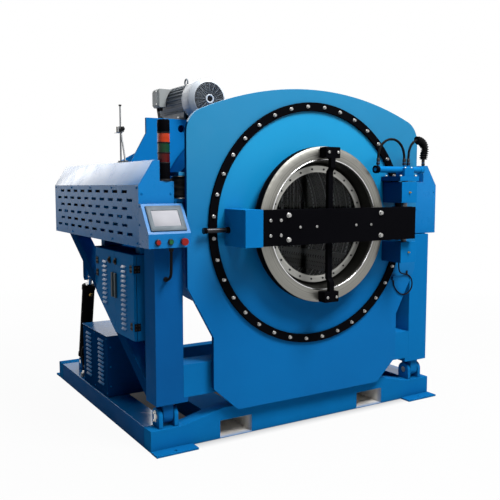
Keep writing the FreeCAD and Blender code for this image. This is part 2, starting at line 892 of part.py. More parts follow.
lid_run = lid_inset / lid_rise
lid_wall = sheet * math.hypot(lid_inset, lid_rise) / lid_rise
lid_outside = [(guard_outer, guard_shoulder), (ridge_outer, ridge_z), (ridge_inner, ridge_z),
               (ridge_inner, ledge_z), (guard_inner, ledge_z)]
lid_inside = [(guard_outer - lid_wall, guard_shoulder),
              (guard_outer - lid_wall - (lid_rise - sheet) * lid_run, ridge_z - sheet),
              (ridge_inner + sheet, ridge_z - sheet), (ridge_inner + sheet, ledge_z - sheet),
              (guard_inner, ledge_z - sheet)]


def make_side_guards():
    """Slotted outer walls with their end panels."""
    corners = [(guard_outer, guard_bottom), (guard_outer, guard_shoulder)] + lid_inside
    corners.append((guard_inner, guard_bottom))
    end = [(-x, z) for x, z in corners]
    wall = box(-guard_outer, -guard_outer + sheet, guard_front, guard_rear, guard_bottom, guard_shoulder)
    slots = []
    for row in range(slot_rows):
        z0 = guard_bottom + slot_low + row * slot_row_pitch - slot_height / 2
        y = guard_front + slot_first + (row % 2) * slot_pitch / 2
        while y + slot_length / 2 < guard_rear - slot_length / 2:
            slots.append(box(-guard_outer, -guard_outer + sheet, y - slot_length / 2, y + slot_length / 2,
                             z0, z0 + slot_height))
            y += slot_pitch
    wall = wall.cut(Part.makeCompound(slots))
    front = prism_y(end, guard_front, guard_front + sheet)
    rear = prism_y(end, guard_rear - sheet, guard_rear)
    return both_sides(fuse([wall, front, rear]))


def make_guard_lids():
    """Folded lids: a slant, a narrow ridge and a ledge behind it."""
    outline = lid_outside + lid_inside[::-1]
    return both_sides(prism_y([(-x, z) for x, z in outline], guard_front, guard_rear))


# Operator console

console_outline = [(console_front, guard_bottom), (guard_front, guard_bottom),
                   (guard_front, guard_bottom + console_strip_height + console_slope_height),
                   (console_front + console_slope_depth,
                    guard_bottom + console_strip_height + console_slope_height),
                   (console_front, guard_bottom + console_strip_height)]
button_z = guard_bottom + button_height
button_places = [-guard_outer + button_outer_edge + k * button_spacing for k in range(3)]
console_tilt = math.degrees(math.atan2(console_slope_height, console_slope_depth))
console_centre = Vector(-(guard_outer + console_inner) / 2, console_front + console_slope_depth / 2,
                        guard_bottom + console_strip_height + console_slope_height / 2)


def on_slope(shape):
    """Lay a piece built flat at the origin on the console's sloping face."""
    shape.Placement = FreeCAD.Placement(console_centre, FreeCAD.Rotation(X_AXIS, console_tilt))
    return shape


def make_console_housing():
    """A sheet housing with a collar for each button and a seat for the touch panel."""
    body = prism_x(console_outline, -guard_outer, -console_inner)
    hollow = [(y, z) for y, z in inset(console_outline, sheet)]
    back = guard_front
    hollow = [(back if y > guard_front - 2 * sheet else y, z) for y, z in hollow]
    body = body.cut(prism_x(hollow, -guard_outer + sheet, -console_inner - sheet))
    for x in button_places:
        collar = button_cap_radius + button_bezel_gap + button_bezel_wall
        bezel = disc(collar, console_front - button_bezel_height, console_front, x, button_z)
        well = disc(button_cap_radius + button_bezel_gap, console_front - button_bezel_height, console_front,
                    x, button_z)
        hole = disc(button_stem_radius + running_gap, console_front, console_front + sheet, x, button_z)
        body = fuse([body, bezel.cut(well)]).cut(hole)
    return body


def make_hmi_bezel():
    """The frame of the touch panel."""
    frame = box(-hmi_width / 2, hmi_width / 2, -hmi_height / 2, hmi_height / 2, 0, hmi_thickness)
    window = box(-hmi_window_width / 2, hmi_window_width / 2, -hmi_window_height / 2, hmi_window_height / 2,
                 0, hmi_thickness)
    return on_slope(frame.cut(window))


def make_hmi_screen():
    """The touch screen in its frame."""
    half_w = hmi_window_width / 2 - hmi_fit_gap
    half_h = hmi_window_height / 2 - hmi_fit_gap
    return on_slope(box(-half_w, half_w, -half_h, half_h, 0, hmi_screen_depth))


def push_button(place, cap_radius, cap_length, clearance):
    """A cap on a stem that runs through the console's front."""
    x = button_places[place]
    back = console_front - clearance
    cap = disc(cap_radius, back - cap_length, back, x, button_z)
    stem = disc(button_stem_radius, back, back + button_stem_length, x, button_z)
    return fuse([cap, stem])


def make_stop_button():
    return push_button(0, button_cap_radius, button_cap_length, button_clearance)


def make_start_button():
    return push_button(1, button_cap_radius, button_cap_length, button_clearance)


def make_emergency_button():
    """A mushroom head that stands clear of its collar."""
    return push_button(2, mushroom_radius, mushroom_length, button_bezel_height + mushroom_clearance)


# Signal tower

tower_y = front_edge + tower_setback


def tower_drum(radius, z, height):
    return Part.makeCylinder(radius, height, Vector(-tower_side, tower_y, z))


def make_signal_tower_body():
    """The black foot and the black sounder on top."""
    lamps = 3 * tower_lamp_height
    foot = tower_drum(tower_radius, ledge_z, tower_base_height)
    cap = tower_drum(tower_radius, ledge_z + tower_base_height + lamps, tower_cap_height)
    cap = cap.makeChamfer(tower_radius / 6, [e for e in cap.Edges if e.BoundBox.ZMin > cap.BoundBox.ZMax - 1])
    return Part.makeCompound([foot, cap])


def make_signal_lenses():
    """Three stacked lamps."""
    start = ledge_z + tower_base_height
    return Part.makeCompound([tower_drum(tower_radius - tower_lamp_inset, start + k * tower_lamp_height,
                                         tower_lamp_height) for k in range(3)])


# Control cabinet

cabinet_y0 = front_edge + cabinet_front_setback
cabinet_y1 = front_edge + cabinet_rear_setback
cabinet_seam = front_edge + cabinet_seam_setback


def brace_over(y):
    """Lowest height, clear of the brace, that the cabinet may reach at a place along Y."""
    return brace_under(y) + brace_rise + cabinet_brace_gap


chamfer_start = cabinet_seam
chamfer_low = max(cabinet_bottom, brace_over(cabinet_seam))
chamfer_high = chamfer_low + (cabinet_y1 - chamfer_start) * brace_slope
cabinet_outline = [(cabinet_y0, chamfer_low), (chamfer_start, chamfer_low), (cabinet_y1, chamfer_high),
                   (cabinet_y1, cabinet_top), (cabinet_y0, cabinet_top)]
cabinet_mouth = cabinet_face - door_thickness - door_gap


def make_control_cabinet():
    """A box open towards -X, hung under the frame beam."""
    back = cabinet_face - cabinet_depth
    shell = prism_x(cabinet_outline, -cabinet_mouth, -back)
    hollow = prism_x(inset(cabinet_outline, cabinet_wall), -cabinet_mouth, -back - cabinet_wall)
    pieces = [shell.cut(hollow)]
    for y in (cabinet_y0, cabinet_y1 - cabinet_hanger_width):
        pieces.append(box(-frame_beam_outer, -frame_beam_inner, y, y + cabinet_hanger_width,
                          cabinet_top, frame_beam_bottom))
    return fuse(pieces)


def make_control_gear():
    """The mounting panel with the motor drive and a row of contactors."""
    back = cabinet_face - cabinet_depth + cabinet_wall
    panel = prism_x(inset(cabinet_outline, 2 * cabinet_wall), -back - gear_panel_thickness, -back)
    face = -back - gear_panel_thickness
    drive_y = cabinet_y0 + drive_width / 2
    drive_z = (chamfer_low + cabinet_top) / 2 - drive_height / 2
    drive = box(face - drive_depth, face, drive_y, drive_y + drive_width, drive_z, drive_z + drive_height)
    pieces = [panel, drive]
    for k in range(contactor_count):
        y = drive_y + drive_width + contactor_pitch + k * contactor_pitch
        pieces.append(box(face - contactor_depth, face, y, y + contactor_width,
                          drive_z + drive_height - contactor_height, drive_z + drive_height))
    return fuse(pieces)


def cabinet_door(outline, hinge_y, louvre_y, handle_y):
    """A door leaf with louvres, a handle strip and two hinge knuckles."""
    inner = cabinet_mouth + door_gap / 4
    leaf = prism_x(inset(outline, door_gap / 2), -cabinet_face, -inner)
    edge = hinge_y + math.copysign(hinge_knuckle_radius, hinge_y - louvre_y)
    leaf = leaf.cut(box(-inner - door_relief, -inner, min(edge, hinge_y), max(edge, hinge_y),
                        chamfer_low, cabinet_top))
    floor = chamfer_low + max(0, louvre_y + louvre_length / 2 - cabinet_seam) * brace_slope
    count = int((cabinet_top - floor - louvre_top_drop - louvre_low_gap) / louvre_pitch) + 1
    top = cabinet_top - louvre_top_drop
    pieces = [leaf] + louvres(cabinet_face, louvre_y, top, count, louvre_length)
    handle_z = cabinet_top - handle_drop
    half = handle_length / 2
    pieces.append(box(-cabinet_face - handle_depth, -cabinet_face, handle_y - handle_width / 2,
                      handle_y + handle_width / 2, handle_z - half, handle_z + half))
    low = chamfer_high if hinge_y > cabinet_seam else chamfer_low
    for z in (low + hinge_knuckle_inset, cabinet_top - hinge_knuckle_inset - hinge_knuckle_length):
        pieces.append(Part.makeCylinder(hinge_knuckle_radius, hinge_knuckle_length,
                                        Vector(-cabinet_face, hinge_y, z)))
    return fuse(pieces)


def make_cabinet_door_front():
    outline = [(cabinet_y0, chamfer_low), (cabinet_seam, chamfer_low), (cabinet_seam, cabinet_top),
               (cabinet_y0, cabinet_top)]
    return cabinet_door(outline, cabinet_y0 + hinge_knuckle_radius, (cabinet_y0 + cabinet_seam) / 2,
                        cabinet_seam - handle_width)


def make_cabinet_door_rear():
    outline = [(cabinet_seam, chamfer_low), (cabinet_y1, chamfer_high), (cabinet_y1, cabinet_top),
               (cabinet_seam, cabinet_top)]
    return cabinet_door(outline, cabinet_y1 - hinge_knuckle_radius, (cabinet_seam + cabinet_y1) / 2,
                        cabinet_seam + handle_width)


def make_limit_switch_stand():
    """A rod on the guard's ridge, a clamp and a second, leaning rod."""
    x = -(ridge_outer + ridge_inner) / 2
    y = front_edge + stand_setback
    foot = Part.makeCylinder(stand_foot_radius, stand_foot_height, Vector(x, y, ridge_z))
    upright = rod(stand_rod_radius, Vector(x, y, ridge_z), Vector(x, y, ridge_z + stand_height))
    clamp_z = ridge_z + stand_clamp_height
    half = stand_clamp_size / 2
    clamp = box(x - half, x + half, y - half, y + half, clamp_z - half, clamp_z + half)
    lean = rod(stand_rod_radius, Vector(x, y - stand_lean, ridge_z + stand_rod_radius), Vector(x, y, clamp_z))
    toe = Part.makeCylinder(stand_foot_radius, stand_foot_height, Vector(x, y - stand_lean, ridge_z))
    return fuse([foot, upright, clamp, lean, toe])


def make_console_cable():
    """The conduit from the console's underside into the left column."""
    x = -(guard_outer + console_inner) / 2 + conduit_side
    y = column_front - conduit_reach
    bend = guard_bottom - conduit_drop
    run = conduit_reach / (math.sin(math.radians(30)) + math.sin(math.radians(60)) + 1)
    high = run * math.sin(math.radians(30))
    wide = run * math.sin(math.radians(60))
    points = [Vector(x, y, guard_bottom), Vector(x, y, bend), Vector(x, y + high, bend - wide),
              Vector(x, y + high + wide, bend - wide - high), Vector(x, column_front, bend - wide - high)]
    return tube(points, conduit_radius, "console_cable")


# Tub

def make_front_plate():
    """The outer front plate, with the two front spring brackets welded behind it."""
    def at(x, rise):
        return Vector(x, plate_face, axis_height + rise)
    top_centre = plate_top_rise - plate_top_radius
    corner_x = plate_half_width - plate_corner_radius
    reach = plate_top_radius - plate_corner_radius
    corner_z = top_centre + math.sqrt(reach ** 2 - corner_x ** 2)
    join_x = corner_x * plate_top_radius / reach
    join_z = top_centre + (corner_z - top_centre) * plate_top_radius / reach
    lean = math.atan2(corner_z - top_centre, corner_x) / 2
    mid_x = corner_x + plate_corner_radius * math.cos(lean)
    mid_z = corner_z + plate_corner_radius * math.sin(lean)
    right = [(plate_foot_half, -plate_foot_drop), (plate_waist_half, -plate_chamfer_drop),
             (plate_waist_half, -plate_waist_drop), (plate_half_width, -plate_shoulder_drop),
             (plate_half_width, corner_z)]
    left = [(-x, z) for x, z in reversed(right)]
    edges = [Part.LineSegment(at(*a), at(*b)).toShape() for a, b in zip(right, right[1:])]
    edges.append(Part.Arc(at(plate_half_width, corner_z), at(mid_x, mid_z), at(join_x, join_z)).toShape())
    edges.append(Part.Arc(at(join_x, join_z), at(0, plate_top_rise), at(-join_x, join_z)).toShape())
    edges.append(Part.Arc(at(-join_x, join_z), at(-mid_x, mid_z), at(-plate_half_width, corner_z)).toShape())
    edges += [Part.LineSegment(at(*a), at(*b)).toShape() for a, b in zip(left, left[1:] + right[:1])]
    plate = Part.Face(Part.Wire(edges)).extrude(Vector(0, plate_thickness, 0))
    hole = disc(tub_radius + tub_front_margin + plate_hole_gap, plate_face, plate_back)
    y1 = front_edge + spring_front_setback + bracket_width / 2
    pieces = [plate.cut(hole)]
    for side in SIDES:
        x0, x1 = sorted((side * bracket_root, side * bracket_reach))
        pieces.append(box(x0, x1, plate_back, y1, bracket_z, bracket_z + bracket_thickness))
        rib_x = side * (bracket_root + bracket_reach) / 2
        rib = [(plate_back, bracket_z + bracket_thickness), (y1, bracket_z + bracket_thickness),
               (plate_back, bracket_z + bracket_thickness + bracket_rib_height)]
        pieces.append(prism_x(rib, rib_x - bracket_thickness / 2, rib_x + bracket_thickness / 2))
    gland_z = axis_height - cable_gland_drop
    pieces.append(box(cable_gland_side - cable_gland_width / 2, cable_gland_side + cable_gland_width / 2,
                      plate_face - cable_gland_depth, plate_face, gland_z, gland_z + cable_gland_height))
    return fuse(pieces)


def make_clamp_ring():
    """The bolted ring over the joint between the front plate and the tub."""
    return ring(ring_inner_radius, ring_outer_radius, plate_face - ring_thickness, plate_face)


def make_ring_bolts():
    """Bolt heads all round the clamp ring."""
    heads = []
    y1 = plate_face - ring_thickness
    for k in range(ring_bolt_count):
        angle = math.radians((k + 0.5) * 360 / ring_bolt_count)
        heads.append(hex_head(ring_bolt_across, y1 - ring_bolt_height, y1, ring_bolt_radius * math.sin(angle),
                              axis_height + ring_bolt_radius * math.cos(angle)))
    return Part.makeCompound(heads)


def make_tub_shell():
    """The tub's wall, front disc and door neck, turned as one welded piece."""
    y0 = plate_face
    y1 = plate_face + tub_front_thickness
    rim = tub_radius + tub_front_margin
    neck_outer = neck_radius + neck_wall
    return turned([(neck_radius, y0 - neck_length), (neck_outer, y0 - neck_length), (neck_outer, y0),
                   (rim, y0), (rim, y1), (tub_radius, y1), (tub_radius, tub_rear),
                   (tub_radius - tub_wall, tub_rear),
                   (tub_radius - tub_wall, y1), (neck_radius, y1)], 0, axis_height)


def make_tub_rear():
    """The rear wall with the bearing housing and its ribs."""
    wall_back = tub_rear + tub_rear_thickness
    bore = shaft_radius + running_gap
    body = turned([(bore, tub_rear), (tub_radius, tub_rear), (tub_radius, wall_back),
                   (bearing_radius, wall_back), (bearing_radius, bearing_rear), (bore, bearing_rear)],
                  0, axis_height)
    pieces = [body]
    for k in range(rear_rib_count):
        r0 = bearing_radius - rear_rib_thickness
        r1 = tub_radius - rear_rib_height
        rib = prism_x([(wall_back, r0), (wall_back, r1), (wall_back + rear_rib_height, r0)],
                      -rear_rib_thickness / 2, rear_rib_thickness / 2)
        turn = FreeCAD.Rotation(Y_AXIS, (k + 0.5) * 360 / rear_rib_count)
        rib.Placement = FreeCAD.Placement(Vector(0, 0, axis_height), turn)
        pieces.append(rib)
    return fuse(pieces)


def make_door_gasket():
    """The rubber ring on the neck that the door closes on."""
    return ring(neck_radius, neck_radius + gasket_width, gasket_front, gasket_front + gasket_thickness)


def make_motor_frame():
    """The arched plate over the tub with its spring wings, the front gusset and the motor platform."""
    y_arch = front_edge + spring_rear_setback - gusset_thickness / 2
    y_front = motor_front + platform_gap
    rise = platform_rise
    top = rise + platform_thickness
    over = tub_radius + bracket_thickness + platform_thickness
    wing_z = bracket_rise + bracket_thickness + bracket_rib_height
    arch = [(bracket_reach, bracket_rise), (bracket_reach, wing_z), (over, 1.5 * wing_z), (0.5 * over, over),
            (0, over), (-platform_inner, top), (-arch_outer, top),
            (-arch_outer, 1.3 * wing_z), (-bracket_reach, wing_z),
            (-bracket_reach, bracket_rise)]
    wing = bracket_reach - 2 * bracket_thickness
    gusset = [(-gusset_outer, top), (-platform_inner, top), (-platform_inner, bracket_rise),
              (-wing, bracket_rise), (-wing, wing_z), (-gusset_outer, gusset_shoulder)]
    plates = [prism_y([(x, axis_height + z) for x, z in arch], y_arch, y_arch + gusset_thickness),
              prism_y([(x, axis_height + z) for x, z in gusset], y_front, y_front + gusset_thickness)]
    plates[1] = plates[1].cut(disc(gusset_hole_radius, y_front, y_front + gusset_thickness,
                                   -gusset_hole_side, axis_height + top - gusset_hole_drop))
    body = disc(tub_radius + shell_gap, y_front, y_arch + gusset_thickness)
    pieces = [p.cut(body) for p in plates]
    pieces.append(box(-platform_outer, -platform_inner, y_front, y_front + platform_length,
                      axis_height + rise, platform_top))
    y = front_edge + spring_rear_setback
    for side in SIDES:
        x0, x1 = sorted((side * bracket_root, side * bracket_reach))
        pieces.append(box(x0, x1, y - bracket_width / 2, y + bracket_width / 2, bracket_z,
                          bracket_z + bracket_thickness))
    return fuse(pieces)


def make_motor_body():
    """The finned stator frame on its feet, with its drive-end shield and lifting eye."""
    z = motor_axis_z
    x = -motor_side
    core = disc(motor_radius, motor_front, motor_rear, x, z)
    spigot_radius = fan_cover_radius - fan_cover_wall - shell_gap
    spigot = disc(spigot_radius, motor_front - fan_cover_overlap, motor_front, x, z)
    shield = disc(motor_shield_radius, motor_rear, motor_rear + motor_shield_length, x, z)
    pieces = [core, spigot, shield]
    outer = motor_radius + motor_fin_height
    for k in range(motor_fin_count):
        fin = box(-motor_fin_thickness / 2, motor_fin_thickness / 2, motor_front, motor_rear,
                  motor_radius - motor_fin_height, outer)
        turn = FreeCAD.Rotation(Y_AXIS, (k + 0.5) * 360 / motor_fin_count)
        fin.Placement = FreeCAD.Placement(Vector(x, 0, z), turn)
        pieces.append(fin)
    foot_y0 = motor_front + motor_foot_width
    foot_y1 = motor_rear - motor_foot_width
    for side in SIDES:
        foot_x = x + side * motor_foot_span / 2
        pieces.append(box(foot_x - motor_foot_width / 2, foot_x + motor_foot_width / 2, foot_y0, foot_y1,
                          platform_top, platform_top + motor_foot_thickness))
        leg_x = foot_x - side * motor_foot_thickness
        pieces.append(box(leg_x - motor_foot_thickness / 2, leg_x + motor_foot_thickness / 2, foot_y0, foot_y1,
                          platform_top, z))
    bore = disc(motor_shaft_diameter / 2 + running_gap, motor_rear - motor_shield_length,
                motor_rear + motor_shield_length, x, z)
    eye_y = (motor_front + motor_rear) / 2
    boss_height = 2 * motor_fin_height
    pieces.append(Part.makeCylinder(eye_bolt_radius, boss_height, Vector(x, eye_y, z + outer - boss_height)))
    pieces.append(Part.makeTorus(eye_bolt_radius, motor_fin_thickness,
                                 Vector(x, eye_y, z + outer + eye_bolt_radius), X_AXIS))
    return fuse(pieces).cut(bore)


def make_motor_fan_cover():
    """The domed fan cowl with radial air slots."""
    y1 = motor_front
    y0 = y1 - fan_cover_length
    r = fan_cover_radius
    nose = fan_nose_share * r
    dome = fan_dome_share * fan_cover_length
    skin = turned([(0, y0), (nose, y0), (r, y0 + dome), (r, y1), (r - fan_cover_wall, y1),
                   (r - fan_cover_wall, y0 + dome + fan_cover_wall),
                   (nose - fan_cover_wall, y0 + fan_cover_wall), (0, y0 + fan_cover_wall)],
                  -motor_side, motor_axis_z)
    slots = []
    for k in range(fan_slot_count):
        slot = box(-fan_cover_wall, fan_cover_wall, y0, y0 + fan_cover_wall, 0.3 * r, 0.75 * r)
        turn = FreeCAD.Rotation(Y_AXIS, k * 360 / fan_slot_count)
        slot.Placement = FreeCAD.Placement(Vector(-motor_side, 0, motor_axis_z), turn)
        slots.append(slot)
    return skin.cut(Part.makeCompound(slots))


def make_terminal_box():
    """The motor's terminal box on its left side."""
    outer = motor_side + motor_radius + motor_fin_height + terminal_depth
    y1 = motor_rear - terminal_inset
    z0 = motor_axis_z + terminal_rise - terminal_height / 2
    body = box(-outer, -motor_side - motor_radius / 2, y1 - terminal_length, y1, z0, z0 + terminal_height)
    body = body.makeChamfer(terminal_height / 12, [e for e in body.Edges if e.BoundBox.XMax < 1 - outer])
    return body.cut(disc(motor_radius + motor_fin_height + shell_gap, y1 - terminal_length, y1,
                         -motor_side, motor_axis_z))


def belt_loop(extra):
    """The outline round both pulleys, a height above their rims, as a face at y = 0."""
    r0 = drum_pulley_radius + extra
    r1 = motor_pulley_radius + extra
    run_x = -motor_side
    run_z = motor_axis_z - axis_height
    spread = math.hypot(run_x, run_z)
    along = math.atan2(run_z, run_x)
    swing = math.acos((r0 - r1) / spread)

    def on(radius, centre_x, centre_z, angle):
        return Vector(centre_x + radius * math.cos(angle), 0, centre_z + radius * math.sin(angle))
    a = on(r0, 0, axis_height, along + swing)
    b = on(r0, 0, axis_height, along + math.pi)
    c = on(r0, 0, axis_height, along - swing)
    d = on(r1, -motor_side, motor_axis_z, along - swing)
    e = on(r1, -motor_side, motor_axis_z, along)
    f = on(r1, -motor_side, motor_axis_z, along + swing)
    edges = [Part.Arc(a, b, c).toShape(), Part.LineSegment(c, d).toShape(), Part.Arc(d, e, f).toShape(),
             Part.LineSegment(f, a).toShape()]
    return Part.Face(Part.Wire(edges))


def make_v_belts():
    """Four belts side by side round the motor pulley and the drum pulley."""
    belts = []
    first = (pulley_front + pulley_rear) / 2 - belt_pitch * (belt_count - 1) / 2 - belt_width / 2
    for k in range(belt_count):
        outer = belt_loop(belt_gap + belt_height).extrude(Vector(0, belt_width, 0))
        inner = belt_loop(belt_gap).extrude(Vector(0, belt_width, 0))
        belt = outer.cut(inner)
        belt.translate(Vector(0, first + k * belt_pitch, 0))
        belts.append(belt)
    return Part.makeCompound(belts)


def make_drain_valve():
    """The drain pipe under the tub with its butterfly valve and actuator."""
    y = front_edge + drain_setback
    top = axis_height - tub_radius
    saddle = Part.makeCylinder(drain_saddle_radius, 2 * drain_saddle_height,
                               Vector(0, y, top - drain_saddle_height))
    saddle = saddle.cut(disc(tub_radius + shell_gap, y - tub_radius, y + tub_radius))
    pipe_foot = Vector(0, y, top - shell_gap - drain_pipe_length)
    pipe = Part.makeCylinder(drain_pipe_radius, drain_pipe_length, pipe_foot)
    valve_z = top - drain_pipe_length / 2 - drain_valve_height / 2
    valve = Part.makeCylinder(drain_valve_radius, drain_valve_height, Vector(0, y, valve_z))
    half = drain_actuator_size / 2
    mid = valve_z + drain_valve_height / 2
    reach = drain_valve_radius + drain_actuator_length
    drive = box(0, reach, y - half, y + half, mid - half / 2, mid + half / 2)
    bore = Part.makeCylinder(drain_pipe_radius - tub_wall, drain_pipe_length + drain_saddle_height, pipe_foot)
    flap = Part.makeCylinder(drain_pipe_radius, tub_wall, Vector(0, y, mid - tub_wall / 2))
    return fuse([fuse([saddle, pipe, valve, drive]).cut(bore), flap])


def make_air_springs():
    """Four rubber bellows with three folds each, standing on the frame's shelves."""
    springs = []
    waist = spring_diameter / 2 * 0.8
    step = (spring_height - spring_top_gap) / spring_folds
    for setback in (spring_front_setback, spring_rear_setback):
        for side in SIDES:
            outline = [Vector(0, 0, 0)]
            for k in range(spring_folds):
                outline += [Vector(waist, 0, k * step), Vector(spring_diameter / 2, 0, (k + 0.3) * step),
                            Vector(spring_diameter / 2, 0, (k + 0.7) * step)]
            top = spring_folds * step
            outline += [Vector(waist, 0, top), Vector(0, 0, top), Vector(0, 0, 0)]
            bellows = Part.Face(Part.makePolygon(outline)).revolve(Vector(0, 0, 0), Z_AXIS, 360)
            bellows.translate(Vector(side * spring_offset, front_edge + setback, spring_seat))
            springs.append(bellows)
    return Part.makeCompound(springs)


# Drum

def make_drum_shell():
    """The drum's wall and front, with a rolled lip round the mouth."""
    y0 = drum_front
    inner = drum_radius - drum_wall
    lip = drum_mouth_radius + drum_wall
    return turned([(drum_mouth_radius, y0 - drum_lip_length), (lip, y0 - drum_lip_length), (lip, y0),
                   (drum_radius, y0), (drum_radius, drum_rear), (inner, drum_rear), (inner, y0 + drum_wall),
                   (drum_mouth_radius, y0 + drum_wall)], 0, axis_height)


def make_drum_lifters():
    """Tapered lifters along the inside of the drum."""
    lifters = []
    y0 = drum_front + drum_wall + lifter_end_gap
    y1 = drum_rear - lifter_end_gap
    bore = disc(drum_radius - drum_wall, y0, y1, 0, 0)
    for k in range(lifter_count):
        base = -drum_radius
        top = -drum_radius + drum_wall + lifter_height
        lifter = prism_y([(-lifter_width / 2, base), (lifter_width / 2, base), (lifter_top_width / 2, top),
                          (-lifter_top_width / 2, top)], y0, y1).common(bore)
        lifter.Placement = FreeCAD.Placement(Vector(0, 0, axis_height),
                                             FreeCAD.Rotation(Y_AXIS, (k + 0.5) * 360 / lifter_count))
        lifters.append(lifter)
    return Part.makeCompound(lifters)


def make_drum_back():
    """The drum's rear wall, its hub and the main shaft."""
    y1 = drum_rear + drum_back_thickness
    return turned([(0, drum_rear), (drum_radius, drum_rear), (drum_radius, y1), (drum_hub_radius, y1),
                   (shaft_radius, y1 + drum_hub_length), (shaft_radius, pulley_rear), (0, pulley_rear)],
                  0, axis_height)


def make_drum_pulley():
    """The large pulley, with a rim, a holed web and a hub on the shaft."""
    web_y = (pulley_front + pulley_rear - pulley_web) / 2
    rim_in = drum_pulley_radius - pulley_rim
    wheel = turned([(shaft_radius, pulley_front), (pulley_hub_radius, pulley_front),
                    (pulley_hub_radius, web_y), (rim_in, web_y), (rim_in, pulley_front),
                    (drum_pulley_radius, pulley_front),
                    (drum_pulley_radius, pulley_rear), (rim_in, pulley_rear), (rim_in, web_y + pulley_web),
                    (pulley_hub_radius, web_y + pulley_web), (pulley_hub_radius, pulley_rear),
                    (shaft_radius, pulley_rear)], 0, axis_height)
    place = (pulley_hub_radius + rim_in) / 2
    for k in range(pulley_hole_count):
        angle = 2 * math.pi * k / pulley_hole_count
        wheel = wheel.cut(disc(pulley_hole_radius, web_y, web_y + pulley_web, place * math.cos(angle),
                               axis_height + place * math.sin(angle)))
    return wheel


def make_motor_rotor():
    """The motor shaft with its pulley."""
    shaft = disc(motor_shaft_diameter / 2, motor_rear - motor_shield_length + running_gap, pulley_rear,
                 -motor_side, motor_axis_z)
    return fuse([shaft, disc(motor_pulley_radius, pulley_front, pulley_rear, -motor_side, motor_axis_z)])


# Door

def make_door_rim():
    """The bright rim, hollow behind, with the dished pan that holds the glass."""
    seat = neck_radius
    pan_back = rim_front + pan_depth
    lean = pan_wall * 1.05
    slope = (rim_inner_radius - pan_radius) / pan_depth
    inner_at_flange = pan_radius + slope * pan_flange_thickness
    crown_radius = (rim_inner_radius + rim_outer_radius) / 2
    return turned([(rim_inner_radius, rim_front), (crown_radius, rim_front - rim_crown),
                   (rim_outer_radius, rim_front + rim_crown), (rim_outer_radius, rim_back), (seat, rim_back),
                   (seat, rim_back - rim_wall), (rim_outer_radius - rim_wall, rim_back - rim_wall),
                   (rim_outer_radius - rim_wall, rim_front + rim_wall + rim_crown),
                   (rim_inner_radius + lean, rim_front + rim_wall),
                   (pan_radius + lean, pan_back), (pan_flange_inner, pan_back),
                   (pan_flange_inner, pan_back - pan_flange_thickness),
                   (inner_at_flange, pan_back - pan_flange_thickness)], 0, axis_height)


glass_back = rim_front + pan_depth - pan_flange_thickness
glass_front = glass_back - glass_thickness


def make_door_glass():
    """The round sight glass."""
    return disc(glass_radius, glass_front, glass_back)


def make_glass_clamp_ring():
    """The bright ring that clamps the glass in the pan."""
    return ring(clamp_inner_radius, clamp_outer_radius, glass_front - clamp_thickness, glass_front)


def make_door_bar():
    """The channel across the door, open at the back, with the knuckle of the hinge at its right end."""
    half = door_bar_height / 2
    z0 = axis_height - half
    z1 = axis_height + half
    knuckle_x = hinge_side - hinge_bracket_width / 2
    bar = box(-door_bar_left, door_bar_right, bar_front, bar_back, z0, z1)
    hollow = box(-door_bar_left + door_bar_wall, knuckle_x, bar_front + door_bar_wall, bar_back,
                 z0 + door_bar_wall, z1 - door_bar_wall)
    socket = Part.makeCylinder(lock_bolt_radius + lock_socket_gap, door_bar_wall,
                               Vector(-door_bar_left, (bar_front + bar_back) / 2, axis_height), X_AXIS)
    knuckle = box(knuckle_x, hinge_side + knuckle_reach, bar_back, hinge_y + hinge_bracket_nose, z0, z1)
    bore = Part.makeCylinder(hinge_shaft_radius, door_bar_height, Vector(hinge_side, hinge_y, z0))
    return fuse([bar.cut(hollow).cut(socket), knuckle]).cut(bore)


def make_door_arms():
    """The kinked strap behind the bar, its clamp blocks on the rim and the bar's two side blocks."""
    strap_back = bar_back + strap_thickness
    pieces = []
    tip = (rim_outer_radius + rim_inner_radius) / 2
    block_back = rim_front - rim_crown
    for side in SIDES:
        def up(rise):
            return axis_height + side * rise
        outline = [(bar_back, up(0)), (strap_back, up(0)),
                   (strap_back, up(strap_kink_radius - strap_kink_step)),
                   (strap_back - strap_kink_step, up(strap_kink_radius)),
                   (strap_back - strap_kink_step, up(tip)), (bar_back - strap_kink_step, up(tip)),
                   (bar_back - strap_kink_step, up(strap_kink_radius)),
                   (bar_back, up(strap_kink_radius - strap_kink_step))]
        pieces.append(prism_x(outline, -strap_width / 2, strap_width / 2))
        z0, z1 = sorted((up(tip - clamp_block_height / 2), up(tip + clamp_block_height / 2)))
        pieces.append(box(-clamp_block_width / 2, clamp_block_width / 2, bar_back - strap_kink_step, block_back,
                          z0, z1))
    strap = fuse(pieces)
    half = side_block_height / 2
    x0 = bar_bolt_side - side_block_inset
    x1 = x0 + side_block_width
    blocks = [box(x0, x1, bar_back, block_back, axis_height - half, axis_height + half),
              box(-x1, -x0, bar_back, block_back, axis_height - half, axis_height + half)]
    return Part.makeCompound([strap] + blocks)


def make_door_bolts():
    """The four large bolt heads on the front of the bar."""
    heads = []
    for x in (-bar_bolt_side, bar_bolt_side):
        for rise in (-bar_bolt_rise, bar_bolt_rise):
            z = axis_height + rise
            heads.append(hex_head(bar_bolt_across, bar_front - bar_bolt_height, bar_front, x, z))
    return Part.makeCompound(heads)


bracket_top = axis_height + door_bar_height / 2 + hinge_bracket_gap + hinge_bracket_height
hinge_plate_low = bracket_top + hinge_plate_gap
hinge_plate_top = hinge_plate_low + hinge_plate_thickness
actuator_z = hinge_plate_top + actuator_rise + actuator_radius


def make_hinge_shaft():
    """The upright shaft fixed in the bar's knuckle."""
    low = 2 * axis_height - bracket_top
    return Part.makeCylinder(hinge_shaft_radius, hinge_plate_top - low, Vector(hinge_side, hinge_y, low))


